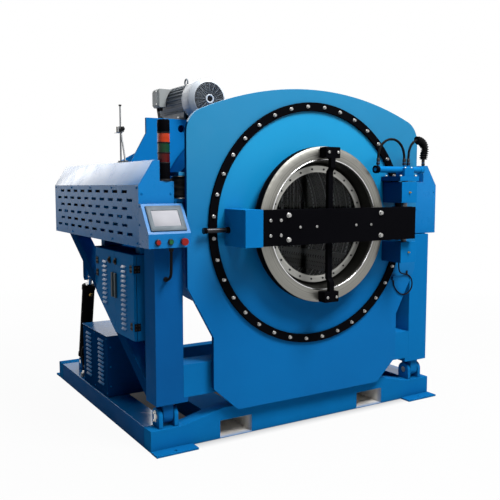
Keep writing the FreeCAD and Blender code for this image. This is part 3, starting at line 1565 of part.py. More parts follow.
def make_hinge_brackets():
    """Upper and lower bearing blocks on the front plate, and the actuator's mounting plate."""
    x0 = hinge_side - hinge_bracket_width / 2
    x1 = hinge_side + hinge_bracket_width / 2
    nose = hinge_y - hinge_bracket_nose
    blocks = []
    low = axis_height + door_bar_height / 2 + hinge_bracket_gap
    mirror_low = 2 * axis_height - bracket_top
    for z0 in (low, mirror_low):
        block = box(x0, x1, nose, plate_face, z0, z0 + hinge_bracket_height)
        bore = Part.makeCylinder(hinge_shaft_radius + running_gap, hinge_bracket_height,
                                 Vector(hinge_side, hinge_y, z0))
        blocks.append(block.cut(bore))
    plate = box(hinge_side - hinge_plate_width / 2, hinge_side + hinge_plate_width / 2, nose, plate_face,
                hinge_plate_low, hinge_plate_top)
    bore = Part.makeCylinder(hinge_shaft_radius + running_gap, hinge_plate_thickness,
                             Vector(hinge_side, hinge_y, hinge_plate_low))
    blocks.append(plate.cut(bore))
    notch = ring(ring_inner_radius - notch_gap, ring_outer_radius + notch_gap,
                 plate_face - ring_thickness - ring_bolt_height - notch_gap, plate_face)
    return Part.makeCompound([block.cut(notch) for block in blocks])


def make_door_actuators():
    """The rack-and-pinion cylinder over the hinge and the lock cylinder beside the latch."""
    left = hinge_side - actuator_left
    right = hinge_side + actuator_right
    pipe = rod(actuator_radius, Vector(left, hinge_y, actuator_z), Vector(right, hinge_y, actuator_z))
    half = actuator_block / 2
    block = box(hinge_side - half, hinge_side + half, hinge_y - half, hinge_y + half, hinge_plate_top,
                actuator_z + actuator_rise / 2)
    pieces = [pipe, block]
    for x in hose_fittings:
        foot = Vector(x, hinge_y, actuator_z)
        pieces.append(Part.makeCylinder(actuator_fitting_radius, actuator_fitting_height, foot))
    pieces.append(rod(actuator_fitting_radius, Vector(right - actuator_elbow_reach, hinge_y, actuator_z),
                      Vector(right + actuator_elbow_reach, hinge_y, actuator_z)))
    lock_end = -door_bar_left - latch_gap - latch_width
    lock_y = plate_face - ring_thickness - ring_bolt_height - notch_gap - lock_cylinder_radius
    lock_z = axis_height - lock_cylinder_drop
    lock = rod(lock_cylinder_radius, Vector(lock_end - lock_cylinder_length, lock_y, lock_z),
               Vector(lock_end, lock_y, lock_z))
    return Part.makeCompound([fuse(pieces), lock])


def make_latch_housing():
    """The lock box beside the bar's free end, bored for the lock bolt."""
    x1 = -door_bar_left - latch_gap
    z0 = axis_height - latch_height / 2
    body = box(x1 - latch_width, x1, bar_front, plate_face, z0, z0 + latch_height)
    depth = lock_bolt_length + seal_gap
    bore = Part.makeCylinder(lock_bolt_radius + running_gap, depth,
                             Vector(x1 - depth, (bar_front + bar_back) / 2, axis_height), X_AXIS)
    return body.cut(bore)


def make_lock_bolt():
    """The bolt that runs out of the latch into the bar's end."""
    x1 = -door_bar_left - latch_gap
    start = Vector(x1 - lock_bolt_length, (bar_front + bar_back) / 2, axis_height)
    return Part.makeCylinder(lock_bolt_radius, lock_bolt_length, start, X_AXIS)


# Hoses of the hinge actuator and the cable beside the hinge

hose_fittings = (hinge_side - actuator_left + actuator_fitting_inset, hinge_side - actuator_fitting_radius,
                 hinge_side + 3 * actuator_fitting_radius, hinge_side + actuator_right + actuator_elbow_reach)
fitting_top = actuator_z + actuator_fitting_height


def make_actuator_hoses():
    """Two hose loops over the actuator, both in the plane of its axis."""
    loops = [[(0, 0), (0, 36), (0.03, 76), (0.13, 112), (0.30, 138), (0.51, 147), (0.72, 137), (0.88, 109),
              (0.97, 72), (1, 34), (1, 0)],
             [(0, 0), (0, 42), (0.06, 88), (0.24, 126), (0.53, 148), (0.84, 140), (1.06, 111), (1.10, 72),
              (1, 34), (1, 0)]]
    ends = (hose_fittings[:2], hose_fittings[2:])
    tubes = []
    for (start, end), loop in zip(ends, loops):
        points = [Vector(start + u * (end - start), hinge_y, fitting_top + hose_end_gap + z) for u, z in loop]
        tubes.append(tube(points, hose_radius, "actuator_hose"))
    return Part.makeCompound(tubes)


def make_door_cable():
    """The sensor cable that loops from the lower hinge block to its gland on the plate."""
    rest = plate_face - cable_radius - cable_rest_gap
    start_y = plate_face - cable_start_gap
    bottom = 2 * axis_height - bracket_top
    side = hinge_side + hinge_bracket_width / 2 - 3 * cable_radius
    gland_z = axis_height - cable_gland_drop
    route = [(side, start_y, bottom), (side, start_y, bottom - 32), (side + 7, start_y + 6, bottom - 62),
             (side + 30, start_y + 17, bottom - 90), (side + 70, start_y + 28, bottom - 103)]
    loop = [(126, 371), (159, 390), (178, 424), (177, 462), (155, 494), (120, 511), (81, 509), (46, 491),
            (21, 464), (2, 432)]
    route += [(cable_gland_side + x, rest, axis_height - drop) for x, drop in loop]
    route.append((cable_gland_side, rest, gland_z - hose_end_gap))
    return tube([Vector(*place) for place in route], cable_radius, "door_cable")


MAKERS = {
    "base_side_rails": make_base_side_rails,
    "base_cross_beams": make_base_cross_beams,
    "foot_plates": make_foot_plates,
    "base_pivot_ears": make_base_pivot_ears,
    "pivot_pins": make_pivot_pins,
    "power_unit_cabinet": make_power_unit_cabinet,
    "hydraulic_unit": make_hydraulic_unit,
    "lift_hose": make_lift_hose,
    "lift_barrels": make_lift_barrels,
    "lift_rods": make_lift_rods,
    "frame_columns": make_frame_columns,
    "frame_braces": make_frame_braces,
    "frame_beams": make_frame_beams,
    "side_guards": make_side_guards,
    "guard_lids": make_guard_lids,
    "console_housing": make_console_housing,
    "hmi_bezel": make_hmi_bezel,
    "hmi_screen": make_hmi_screen,
    "stop_button": make_stop_button,
    "start_button": make_start_button,
    "emergency_button": make_emergency_button,
    "signal_tower_body": make_signal_tower_body,
    "signal_lenses": make_signal_lenses,
    "control_cabinet": make_control_cabinet,
    "control_gear": make_control_gear,
    "cabinet_door_front": make_cabinet_door_front,
    "cabinet_door_rear": make_cabinet_door_rear,
    "limit_switch_stand": make_limit_switch_stand,
    "console_cable": make_console_cable,
    "front_plate": make_front_plate,
    "clamp_ring": make_clamp_ring,
    "ring_bolts": make_ring_bolts,
    "tub_shell": make_tub_shell,
    "tub_rear": make_tub_rear,
    "door_gasket": make_door_gasket,
    "motor_frame": make_motor_frame,
    "motor_body": make_motor_body,
    "motor_fan_cover": make_motor_fan_cover,
    "terminal_box": make_terminal_box,
    "v_belts": make_v_belts,
    "drain_valve": make_drain_valve,
    "air_springs": make_air_springs,
    "drum_shell": make_drum_shell,
    "drum_lifters": make_drum_lifters,
    "drum_back": make_drum_back,
    "drum_pulley": make_drum_pulley,
    "motor_rotor": make_motor_rotor,
    "door_rim": make_door_rim,
    "door_glass": make_door_glass,
    "glass_clamp_ring": make_glass_clamp_ring,
    "door_bar": make_door_bar,
    "door_arms": make_door_arms,
    "door_bolts": make_door_bolts,
    "hinge_shaft": make_hinge_shaft,
    "hinge_brackets": make_hinge_brackets,
    "door_actuators": make_door_actuators,
    "latch_housing": make_latch_housing,
    "lock_bolt": make_lock_bolt,
    "actuator_hoses": make_actuator_hoses,
    "door_cable": make_door_cable,
}

os.makedirs("parts", exist_ok=True)
for node, make in MAKERS.items():
    shape = make()
    shape.exportStep(os.path.join("parts", node + ".step"))
    state = "valid" if shape.isValid() else "INVALID"
    print(node, len(shape.Solids), "solids", state, round(shape.Volume / 1e6, 2))
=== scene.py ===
import math
from itertools import product

import bpy
from mathutils import Matrix, Vector


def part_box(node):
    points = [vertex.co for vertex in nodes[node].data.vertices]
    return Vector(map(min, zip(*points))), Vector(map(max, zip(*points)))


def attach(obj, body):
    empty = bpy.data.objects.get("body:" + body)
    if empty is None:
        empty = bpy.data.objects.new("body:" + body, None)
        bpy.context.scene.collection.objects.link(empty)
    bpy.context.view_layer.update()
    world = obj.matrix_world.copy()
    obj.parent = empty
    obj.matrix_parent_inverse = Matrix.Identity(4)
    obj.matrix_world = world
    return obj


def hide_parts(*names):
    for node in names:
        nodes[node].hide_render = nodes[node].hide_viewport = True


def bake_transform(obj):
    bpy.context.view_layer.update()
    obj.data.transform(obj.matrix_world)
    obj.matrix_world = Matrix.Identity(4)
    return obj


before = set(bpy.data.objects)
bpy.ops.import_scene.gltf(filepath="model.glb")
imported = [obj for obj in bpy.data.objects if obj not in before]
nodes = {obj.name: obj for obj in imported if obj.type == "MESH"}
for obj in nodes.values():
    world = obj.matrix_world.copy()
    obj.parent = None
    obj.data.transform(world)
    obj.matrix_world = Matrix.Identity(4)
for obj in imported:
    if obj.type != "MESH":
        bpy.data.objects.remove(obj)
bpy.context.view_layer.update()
scene = bpy.context.scene


# Places in the frame, in metres

def box_of(node):
    """The lowest and highest corner of a CAD node, to the nearest 0.1 mm."""
    return [[round(c, 4) for c in corner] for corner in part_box(node)]


def middle(node):
    """The middle of a CAD node's box, to the nearest 0.1 mm."""
    return [round((low + high) / 2, 4) for low, high in zip(*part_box(node))]


AXIS_Z = middle("clamp_ring")[2]
HINGE_X, HINGE_Y, _ = middle("hinge_shaft")
MOTOR_X, _, MOTOR_Z = middle("motor_rotor")
TOWER_X, TOWER_Y, _ = middle("signal_tower_body")
(_, RING_FACE, _), (_, PLATE_Y, _) = box_of("clamp_ring")
BAR_FACE = box_of("door_bar")[0][1]
PIN_END = box_of("pivot_pins")[1][0]
PIN_Z = middle("pivot_pins")[2]
PIN_Y = -0.85
DRUM_RADIUS = 0.65
FORK_X = 0.53
FORK_Z = 0.0575
FORK_WIDTH = 0.22
FORK_HEIGHT = 0.105


# Materials

class Nodes:
    """A node tree and a few shared building blocks."""

    def __init__(self, tree):
        self.tree = tree

    def give(self, socket, value):
        """Link another socket to this one, or set its value."""
        if isinstance(value, bpy.types.NodeSocket):
            self.tree.links.new(value, socket)
        elif socket.type == "RGBA":
            socket.default_value = (*value, 1.0)
        else:
            socket.default_value = value

    def add(self, kind, inputs, **settings):
        """A node with its settings, and its inputs by name or number."""
        node = self.tree.nodes.new(kind)
        for name, value in settings.items():
            setattr(node, name, value)
        for name, value in inputs.items():
            self.give(node.inputs[name], value)
        return node

    def math(self, operation, first, second=0.5):
        return self.add("ShaderNodeMath", {0: first, 1: second}, operation=operation).outputs["Value"]

    def length(self, first, second):
        """The length across two sides at right angles."""
        squares = [self.math("MULTIPLY", side, side) for side in (first, second)]
        return self.math("SQRT", self.math("ADD", *squares))

    def ranged(self, source, low, high, start=0.3, end=0.7):
        """A value from low to high while the source runs from start to end."""
        inputs = {"Value": source, "From Min": start, "From Max": end, "To Min": low, "To Max": high}
        return self.add("ShaderNodeMapRange", inputs).outputs["Result"]

    def mixed(self, factor, first, second):
        return self.add("ShaderNodeMix", {0: factor, 6: first, 7: second}, data_type="RGBA").outputs[2]

    def seen_ray(self):
        """1 for the rays that show the background: camera, glossy and transmission rays."""
        ray = self.add("ShaderNodeLightPath", {}).outputs
        shown = self.math("MAXIMUM", ray["Is Camera Ray"], ray["Is Glossy Ray"])
        return self.math("MAXIMUM", shown, ray["Is Transmission Ray"])


class Shader(Nodes):
    """A Principled material in object coordinates."""

    def __init__(self, name):
        self.material = bpy.data.materials.new(name)
        self.material.use_nodes = True
        super().__init__(self.material.node_tree)
        self.shader = self.tree.nodes["Principled BSDF"]
        self.coords = self.add("ShaderNodeTexCoord", {}).outputs["Object"]

    def put(self, name, value):
        self.give(self.shader.inputs[name], value)

    def split(self):
        """The object coordinates X, Y and Z."""
        return self.add("ShaderNodeSeparateXYZ", {"Vector": self.coords}).outputs

    def noise(self, scale, detail, stretch=None):
        vector = self.coords
        if stretch:
            vector = self.add("ShaderNodeMapping", {"Vector": vector, "Scale": stretch}).outputs["Vector"]
        inputs = {"Vector": vector, "Scale": scale, "Detail": detail, "Roughness": 0.55}
        return self.add("ShaderNodeTexNoise", inputs).outputs["Fac"]

    def noise_along(self, value, scale, detail=2.0):
        """Noise that varies with one value only, such as a radius."""
        inputs = {"W": value, "Scale": scale, "Detail": detail}
        return self.add("ShaderNodeTexNoise", inputs, noise_dimensions="1D").outputs["Fac"]

    def patchy(self, scale, detail, first, second, most=1.0):
        """Patches of a second colour over a first."""
        return self.mixed(self.ranged(self.noise(scale, detail), 0.0, most), first, second)

    def bump(self, height, strength, distance, below=None):
        inputs = {"Height": height, "Strength": strength, "Distance": distance}
        if below is not None:
            inputs["Normal"] = below
        return self.add("ShaderNodeBump", inputs).outputs["Normal"]

    def openness(self, distance):
        """1 on open faces, less in corners and crevices."""
        return self.add("ShaderNodeAmbientOcclusion", {"Distance": distance}, samples=4).outputs["AO"]


GLOSS = "Specular IOR Level"


def darker(colour, share):
    return tuple(share * c for c in colour)


def paint(name, colour, shade, rough, gloss=0.1, peel=0.04, grime_and_shade=0.5, painted_top_light=None):
    """Sprayed paint with faint patches, orange peel, and dirt with painted shade that darkens the corners.

    A painted top light has the heights where it starts and ends, and the colour and gloss at its top: the
    upper faces get a lighter colour and more gloss, as if lit more.
    """
    s = Shader(name)
    body = s.patchy(1.7, 5.0, colour, shade)
    s.put(GLOSS, gloss)
    if painted_top_light:
        low, high, top, most = painted_top_light
        height = s.ranged(s.split()["Z"], 0.0, 1.0, low, high)
        # Painted top light: the colour turns to the top colour, and the gloss rises, with height
        body = s.mixed(height, body, top)
        s.put(GLOSS, s.ranged(height, gloss, most, 0.0, 1.0))
    # Painted shade with dirt: the colour darkens where the ambient occlusion finds corners and crevices
    grime_and_shade_share = s.ranged(s.openness(0.05), grime_and_shade, 0.0, 0.25, 0.85)
    s.put("Base Color", s.mixed(grime_and_shade_share, body, darker(shade, 0.3)))
    s.put("Roughness", s.ranged(s.noise(9.0, 6.0), rough - 0.05, rough + 0.09))
    s.put("Normal", s.bump(s.noise(420.0, 2.0), peel, 0.0006))
    return s.material


def steel(name, colour, rough, lines, stretch=None, strength=0.12):
    """Bare metal with fine brush or turning lines."""
    s = Shader(name)
    streaks = s.noise(lines, 4.0, stretch)
    s.put("Base Color", s.patchy(6.0, 5.0, colour, darker(colour, 0.78)))
    s.put("Metallic", 1.0)
    s.put("Roughness", s.ranged(streaks, rough - 0.06, rough + 0.12))
    s.put("Normal", s.bump(streaks, strength, 0.0005))
    return s.material


def turned_steel(name, colour, rough, pitch, pan=None):
    """Bare metal with lathe rings about the drum's axis, with a painted shade that darkens it nearly to black
    within the pan's radius.
    """
    s = Shader(name)
    x, y, z = s.split()
    radius = s.length(x, s.math("SUBTRACT", z, AXIS_Z))
    rings = s.math("SINE", s.math("MULTIPLY", s.math("ADD", radius, y), 2 * math.pi / pitch))
    wander = s.noise(30.0, 4.0)
    body = s.mixed(s.ranged(s.noise_along(radius, 170.0), 0.0, 1.0), colour, darker(colour, 0.62))
    body = s.patchy(4.0, 6.0, body, darker(colour, 0.75), 0.5)
    if pan:
        # Painted shade: the metal within the given radius is darkened
        body = s.mixed(s.ranged(radius, 0.0, 1.0, pan - 0.006, pan), darker(colour, 0.11), body)
    s.put("Base Color", body)
    s.put("Metallic", 1.0)
    s.put("Roughness", s.ranged(wander, rough - 0.05, rough + 0.12))
    s.put("Normal", s.bump(rings, 0.05, 0.0004, s.bump(wander, 0.04, 0.0008)))
    return s.material


def plastic(name, colour, rough, grain=300.0, strength=0.1, var=0.8, gloss=0.2):
    """Moulded plastic or rubber with a fine grain and dust."""
    s = Shader(name)
    s.put("Base Color", s.patchy(14.0, 6.0, colour, darker(colour, var)))
    s.put("Roughness", s.ranged(s.noise(25.0, 4.0), rough - 0.06, rough + 0.1))
    s.put("Normal", s.bump(s.noise(grain, 2.0), strength, 0.0006))
    s.put(GLOSS, gloss)
    return s.material


def perforated(name, colour, rough, across, along, pitch, hole, highlight_along=None):
    """Steel sheet with staggered round holes over two coordinates, painted near black as shade seen through
    them, and bright stripes of painted highlight.
    """
    s = Shader(name)
    row = math.sqrt(3)
    u = s.math("DIVIDE", across(s), pitch)
    v = s.math("DIVIDE", along(s), pitch * row)
    reaches = []
    for shift in (0.0, 0.5):
        du, dv = [s.math("SUBTRACT", s.math("FRACT", s.math("ADD", c, shift)), 0.5) for c in (u, v)]
        reaches.append(s.length(du, s.math("MULTIPLY", dv, row)))
    solid = s.ranged(s.math("MINIMUM", *reaches), 0.0, 1.0, hole / pitch * 0.9, hole / pitch * 1.1)
    body = colour
    # Painted highlight: stripes of lighter steel stand in for light streaks
    if highlight_along:
        painted_streaks = s.ranged(s.noise_along(highlight_along(s), 34.0, 1.0), 0.0, 1.0, 0.52, 0.66)
        body = s.mixed(painted_streaks, colour, PAINTED_HIGHLIGHT_STEEL)
    # Painted shade: the holes are near black, for the dark seen through them
    s.put("Base Color", s.mixed(solid, (0.008, 0.008, 0.009), body))
    s.put("Metallic", s.ranged(solid, 0.2, 1.0, 0.0, 1.0))
    s.put("Roughness", s.ranged(s.noise(18.0, 5.0), rough - 0.05, rough + 0.12))
    s.put("Normal", s.bump(solid, 0.6, 0.002, s.bump(s.noise(90.0, 3.0), 0.05, 0.0006)))
    return s.material


def drum_arc(s):
    """Arc length round the drum's wall."""
    x, _, z = s.split()
    return s.math("MULTIPLY", s.math("ARCTAN2", s.math("SUBTRACT", z, AXIS_Z), x), DRUM_RADIUS)


def place(axis):
    return lambda s: s.split()[axis]


def pocket(name):
    """Fork pockets: blue at the mouth, turning pale further in."""
    s = Shader(name)
    pale_share = s.ranged(s.math("ABSOLUTE", s.split()["Y"]), 1.0, 0.0, 0.87, 0.93)
    pale = s.patchy(11.0, 5.0, (0.8, 0.77, 0.72), (0.68, 0.65, 0.6))
    s.put("Base Color", s.mixed(pale_share, BLUE, pale))
    s.put("Roughness", 0.6)
    s.put(GLOSS, 0.02)
    return s.material


def lens(name):
    """Signal lamp lenses: dark red, green and orange from the bottom, with moulded ribs."""
    s = Shader(name)
    low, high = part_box("signal_lenses")
    x, y, z = s.split()
    ramp = s.add("ShaderNodeValToRGB", {"Fac": s.ranged(z, 0.0, 1.0, low[2], high[2])})
    ramp.color_ramp.interpolation = "CONSTANT"
    stops = ramp.color_ramp.elements
    stops[1].position = 0.667
    stops.new(0.333)
    for stop, colour in zip(stops, ((0.085, 0.004, 0.004), (0.003, 0.045, 0.017), (0.44, 0.036, 0.006))):
        stop.color = (*colour, 1.0)
    turn = s.math("ARCTAN2", s.math("SUBTRACT", y, TOWER_Y), s.math("SUBTRACT", x, TOWER_X))
    ribs = s.math("SINE", s.math("MULTIPLY", turn, 48.0))
    s.put("Base Color", s.patchy(30.0, 3.0, ramp.outputs["Color"], (0.03, 0.01, 0.01), 0.25))
    s.put("Roughness", 0.22)
    s.put(GLOSS, 0.15)
    s.put("Normal", s.bump(ribs, 0.35, 0.001))
    return s.material


def screen(name):
    """A switched-off touch screen under a faintly smeared cover, with a painted reflection that lightens it
    towards the top.
    """
    s = Shader(name)
    low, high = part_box("hmi_screen")
    rise = s.ranged(s.split()["Z"], 0.0, 1.0, low[2], high[2])
    # Painted reflection: the face lightens with height
    face = s.mixed(rise, (0.34, 0.34, 0.37), (0.42, 0.42, 0.45))
    s.put("Base Color", s.patchy(12.0, 5.0, face, (0.3, 0.31, 0.34), 0.3))
    s.put("Roughness", s.ranged(s.noise(12.0, 5.0), 0.22, 0.4))
    s.put(GLOSS, 0.05)
    return s.material


def glass(name):
    """Clear sight glass with water marks."""
    s = Shader(name)
    s.put("Base Color", (0.86, 0.92, 0.93))
    s.put("Transmission Weight", 1.0)
    s.put("IOR", 1.18)
    s.put("Roughness", s.ranged(s.noise(9.0, 6.0), 0.0, 0.06, 0.45, 0.8))
    return s.material


BLUE = (0.004, 0.17, 0.46)
BLUE_SHADE = (0.004, 0.14, 0.39)
PLATE_BLUE = (0.004, 0.148, 0.42)
PLATE_SHADE = (0.004, 0.13, 0.38)
# Painted top light: lighter, more cyan blues that the front plate and the tub's neck turn to towards their
# tops
PLATE_PAINTED_TOP_LIGHT = (0.004, 0.172, 0.35)
NECK_PAINTED_TOP_LIGHT = (0.004, 0.25, 0.5)
PAINTED_HIGHLIGHT_STEEL = (0.62, 0.62, 0.64)
# Each look's material function and the values it takes
RECIPES = {
    "blue": (paint, BLUE, BLUE_SHADE, 0.34, 0.006),
    "front": (paint, PLATE_BLUE, PLATE_SHADE, 0.38, 0.02, 0.04, 0.5, (0.8, 1.75, PLATE_PAINTED_TOP_LIGHT, 0.4)),
    "neck": (paint, PLATE_BLUE, PLATE_SHADE, 0.38, 0.02, 0.04, 0.5, (0.8, 1.75, NECK_PAINTED_TOP_LIGHT, 0.32)),
    "base": (paint, BLUE, BLUE_SHADE, 0.62, 0.004),
    "hull": (paint, BLUE, BLUE_SHADE, 0.5, 0.002),
    # Painted shade: darker copies of the blue for parts and faces that lie in shade
    "deep": (paint, (0.004, 0.105, 0.33), (0.004, 0.086, 0.28), 0.55, 0.01),
    "navy": (paint, (0.002, 0.048, 0.17), (0.002, 0.04, 0.145), 0.55, 0.0),
    "lid": (paint, BLUE, BLUE_SHADE, 0.2, 0.38, 0.006),
    "panel": (paint, BLUE, BLUE_SHADE, 0.28, 0.16),
    # The guards' painted top light keeps their blue and only raises the gloss towards the top
    "guard": (paint, BLUE, BLUE_SHADE, 0.28, 0.04, 0.04, 0.5, (1.2, 1.46, BLUE, 0.17)),
    "black": (paint, (0.0022, 0.0022, 0.003), (0.003, 0.003, 0.004), 0.4, 0.005, 0.06, 0.2),
    "grey": (paint, (0.2, 0.228, 0.258), (0.16, 0.182, 0.206), 0.42, 0.1, 0.08, 0.3),
    "motor_light": (paint, (0.46, 0.5, 0.545), (0.4, 0.435, 0.475), 0.32, 0.3, 0.08, 0.5),
    "terminal": (paint, (0.27, 0.285, 0.285), (0.22, 0.24, 0.235), 0.42, 0.12, 0.08, 0.6),
    "pocket": (pocket,),
    "zinc": (steel, (0.66, 0.65, 0.62), 0.32, 60.0),
    "bolt": (steel, (0.42, 0.42, 0.41), 0.34, 60.0),
    "rim": (turned_steel, (0.29, 0.287, 0.262), 0.4, 0.004, 0.396),
    "clamp": (turned_steel, (0.46, 0.46, 0.43), 0.36, 0.003),
    "dark_rod": (steel, (0.13, 0.135, 0.14), 0.36, 120.0, (1, 1, 0.05)),
    "shaft": (steel, (0.68, 0.68, 0.69), 0.22, 220.0, (1, 1, 0.04)),
    "chrome": (steel, (0.8, 0.8, 0.81), 0.1, 300.0, None, 0.03),
    "cast": (paint, (0.075, 0.078, 0.082), (0.05, 0.052, 0.056), 0.5, 0.2, 0.3, 0.4),
    "pipe": (steel, (0.58, 0.58, 0.58), 0.32, 90.0, (1, 1, 0.05)),
    # The drum's wall and back are darkened steel, a painted shade for the dark inside the drum
    "drum_wall": (perforated, (0.13, 0.13, 0.135), 0.36, drum_arc, place("Y"), 0.03, 0.0062, place("Y")),
    "drum_back": (perforated, (0.1, 0.1, 0.105), 0.4, place("X"), place("Z"), 0.034, 0.0062, place("X")),
    "lifter": (perforated, (0.42, 0.42, 0.43), 0.34, place("Y"), place("X"), 0.03, 0.005),
    "rubber": (plastic, (0.017, 0.017, 0.018), 0.62, 240.0, 0.25),
    "hose": (plastic, (0.0045, 0.0045, 0.005), 0.58, 520.0, 0.3, 0.8, 0.05),
    "black_plastic": (plastic, (0.009, 0.009, 0.01), 0.45, 380.0, 0.15, 0.8, 0.06),
    "bezel": (plastic, (0.105, 0.138, 0.165), 0.45, 420.0, 0.12),
    "gear": (plastic, (0.22, 0.23, 0.25), 0.5),
    "red": (plastic, (0.27, 0.013, 0.01), 0.3, 400.0, 0.05, 0.7),
    "green": (plastic, (0.01, 0.115, 0.035), 0.3, 400.0, 0.05, 0.7),
    "grip": (plastic, (0.024, 0.045, 0.058), 0.5, 300.0, 0.1, 0.8, 0.1),
    "alloy": (steel, (0.035, 0.035, 0.038), 0.34, 150.0, (0.05, 1, 1)),
    "brass": (steel, (0.52, 0.33, 0.1), 0.28, 120.0),
    "lens": (lens,),
    "screen": (screen,),
    "glass": (glass,),
}
materials = {look: make(look, *values) for look, (make, *values) in RECIPES.items()}

LOOKS = {
    "blue": ("base_pivot_ears frame_braces frame_beams control_cabinet cabinet_door_front cabinet_door_rear "
             "tub_rear motor_frame hinge_brackets latch_housing"),
    "base": "base_side_rails base_cross_beams foot_plates",
    "front": "front_plate",
    "neck": "tub_shell",
    # Painted shade: the columns and the power unit's hood get the darker blues
    "deep": "frame_columns",
    "navy": "power_unit_cabinet",
    "lid": "guard_lids",
    "panel": "console_housing",
    "guard": "side_guards",
    "black": "clamp_ring door_bar door_arms lift_barrels signal_tower_body",
    "grey": "hydraulic_unit motor_body",
    "motor_light": "motor_fan_cover",
    "terminal": "terminal_box",
    "zinc": "pivot_pins ring_bolts door_bolts",
    "dark_rod": "limit_switch_stand hinge_shaft",
    "rim": "door_rim",
    "clamp": "glass_clamp_ring",
    "shaft": "lock_bolt",
    "chrome": "lift_rods",
    "cast": "drum_pulley motor_rotor",
    "pipe": "drain_valve",
    "drum_wall": "drum_shell",
    "drum_back": "drum_back",
    "lifter": "drum_lifters",
    "rubber": "door_gasket v_belts air_springs",
    "hose": "actuator_hoses door_cable console_cable lift_hose",
    "bezel": "hmi_bezel",
    "gear": "control_gear",
    "red": "stop_button emergency_button",
    "green": "start_button",
    "alloy": "door_actuators",
    "lens": "signal_lenses",
    "screen": "hmi_screen",
    "glass": "door_glass",
}
for look, names in LOOKS.items():
    for node in names.split():
        nodes[node].data.materials.clear()
        nodes[node].data.materials.append(materials[look])


def repaint(look, wanted, *names):
    """Give another look to the faces of CAD nodes that pass a test of centre and normal."""
    for name in names:
        mesh = nodes[name].data
        mesh.materials.append(materials[look])
        for polygon in mesh.polygons:
            if wanted(polygon.center, polygon.normal):
                polygon.material_index = len(mesh.materials) - 1


def on_hood(centre, normal):
    return normal.x < -0.7 and 0.3 < normal.z < 0.7


def on_shaded_left(centre, normal):
    return normal.x < -0.9


def on_rim_side(centre, normal):
    """The outward faces round the rim's edge."""
    return abs(normal.y) < 0.5 and centre.x * normal.x + (centre.z - AXIS_Z) * normal.z > 0


def in_pocket(centre, normal):
    """The inward faces of the two fork pockets."""
    offset = Vector((centre.x - math.copysign(FORK_X, centre.x), 0.0, centre.z - FORK_Z))
    slack = 0.001
    return (abs(offset.x) < FORK_WIDTH / 2 + slack and abs(offset.z) < FORK_HEIGHT / 2 + slack
            and offset.dot(normal) < -FORK_HEIGHT / 4)


repaint("lid", on_hood, "cabinet_door_front", "cabinet_door_rear")
repaint("panel", on_hood, "power_unit_cabinet")
# Painted shade: the rim's outer side is painted black
repaint("black", on_rim_side, "door_rim")
# Painted shade: the cowl's front face is black, for the dark behind the wire guard
repaint("black_plastic", lambda centre, normal: normal.y < -0.9, "motor_fan_cover")
# Painted shade: faces that look left, away from the key lamp, get the darker blues
repaint("navy", on_shaded_left, "hinge_brackets", "frame_braces", "front_plate")
repaint("deep", on_shaded_left, "base_side_rails")
repaint("pocket", in_pocket, "base_cross_beams")
repaint("hull", lambda centre, normal: centre.y > PLATE_Y + 0.05, "tub_shell")
repaint("lid", lambda centre, normal: normal.z > 0.9, "power_unit_cabinet", "base_side_rails")
# The right column goes back to the plain blue, so the painted shade stays on the left column
repaint("blue", lambda centre, normal: centre.x > 0, "door_actuators", "frame_columns")


def soften(node, width):
    """Round a node's edges with modifiers and shade its curved faces smooth."""
    obj = nodes[node]
    for polygon in obj.data.polygons:
        polygon.use_smooth = max(abs(c) for c in polygon.normal) < 0.9999
    weld = obj.modifiers.new("weld", "WELD")
    weld.merge_threshold = 0.00002
    bevel = obj.modifiers.new("bevel", "BEVEL")
    bevel.width = width
    bevel.segments = 2
    bevel.limit_method = "ANGLE"
    bevel.angle_limit = math.radians(35.0)
    bevel.harden_normals = True


SOFT_EDGES = {
    0.0035: ("base_side_rails base_cross_beams frame_columns frame_braces front_plate hinge_brackets "
             "latch_housing door_bar door_arms"),
    0.002: ("foot_plates base_pivot_ears power_unit_cabinet motor_frame clamp_ring lift_barrels lift_rods "
            "hydraulic_unit terminal_box door_rim glass_clamp_ring hmi_bezel "
            "signal_tower_body drain_valve drum_pulley motor_rotor tub_rear tub_shell door_actuators"),
    0.0012: ("side_guards guard_lids cabinet_door_front cabinet_door_rear motor_body motor_fan_cover "
             "pivot_pins hinge_shaft lock_bolt hmi_screen stop_button start_button emergency_button "
             "signal_lenses limit_switch_stand drum_shell drum_lifters drum_back door_gasket v_belts "
             "control_gear door_glass"),
}
for width, names in SOFT_EDGES.items():
    for node in names.split():
        soften(node, width)


# Building pieces

# A hexagon's sides, its turn and its flat shading
HEXAGON = (6, 0, True)


def add_object(name, data):
    obj = bpy.data.objects.new(name, data)
    scene.collection.objects.link(obj)
    return obj


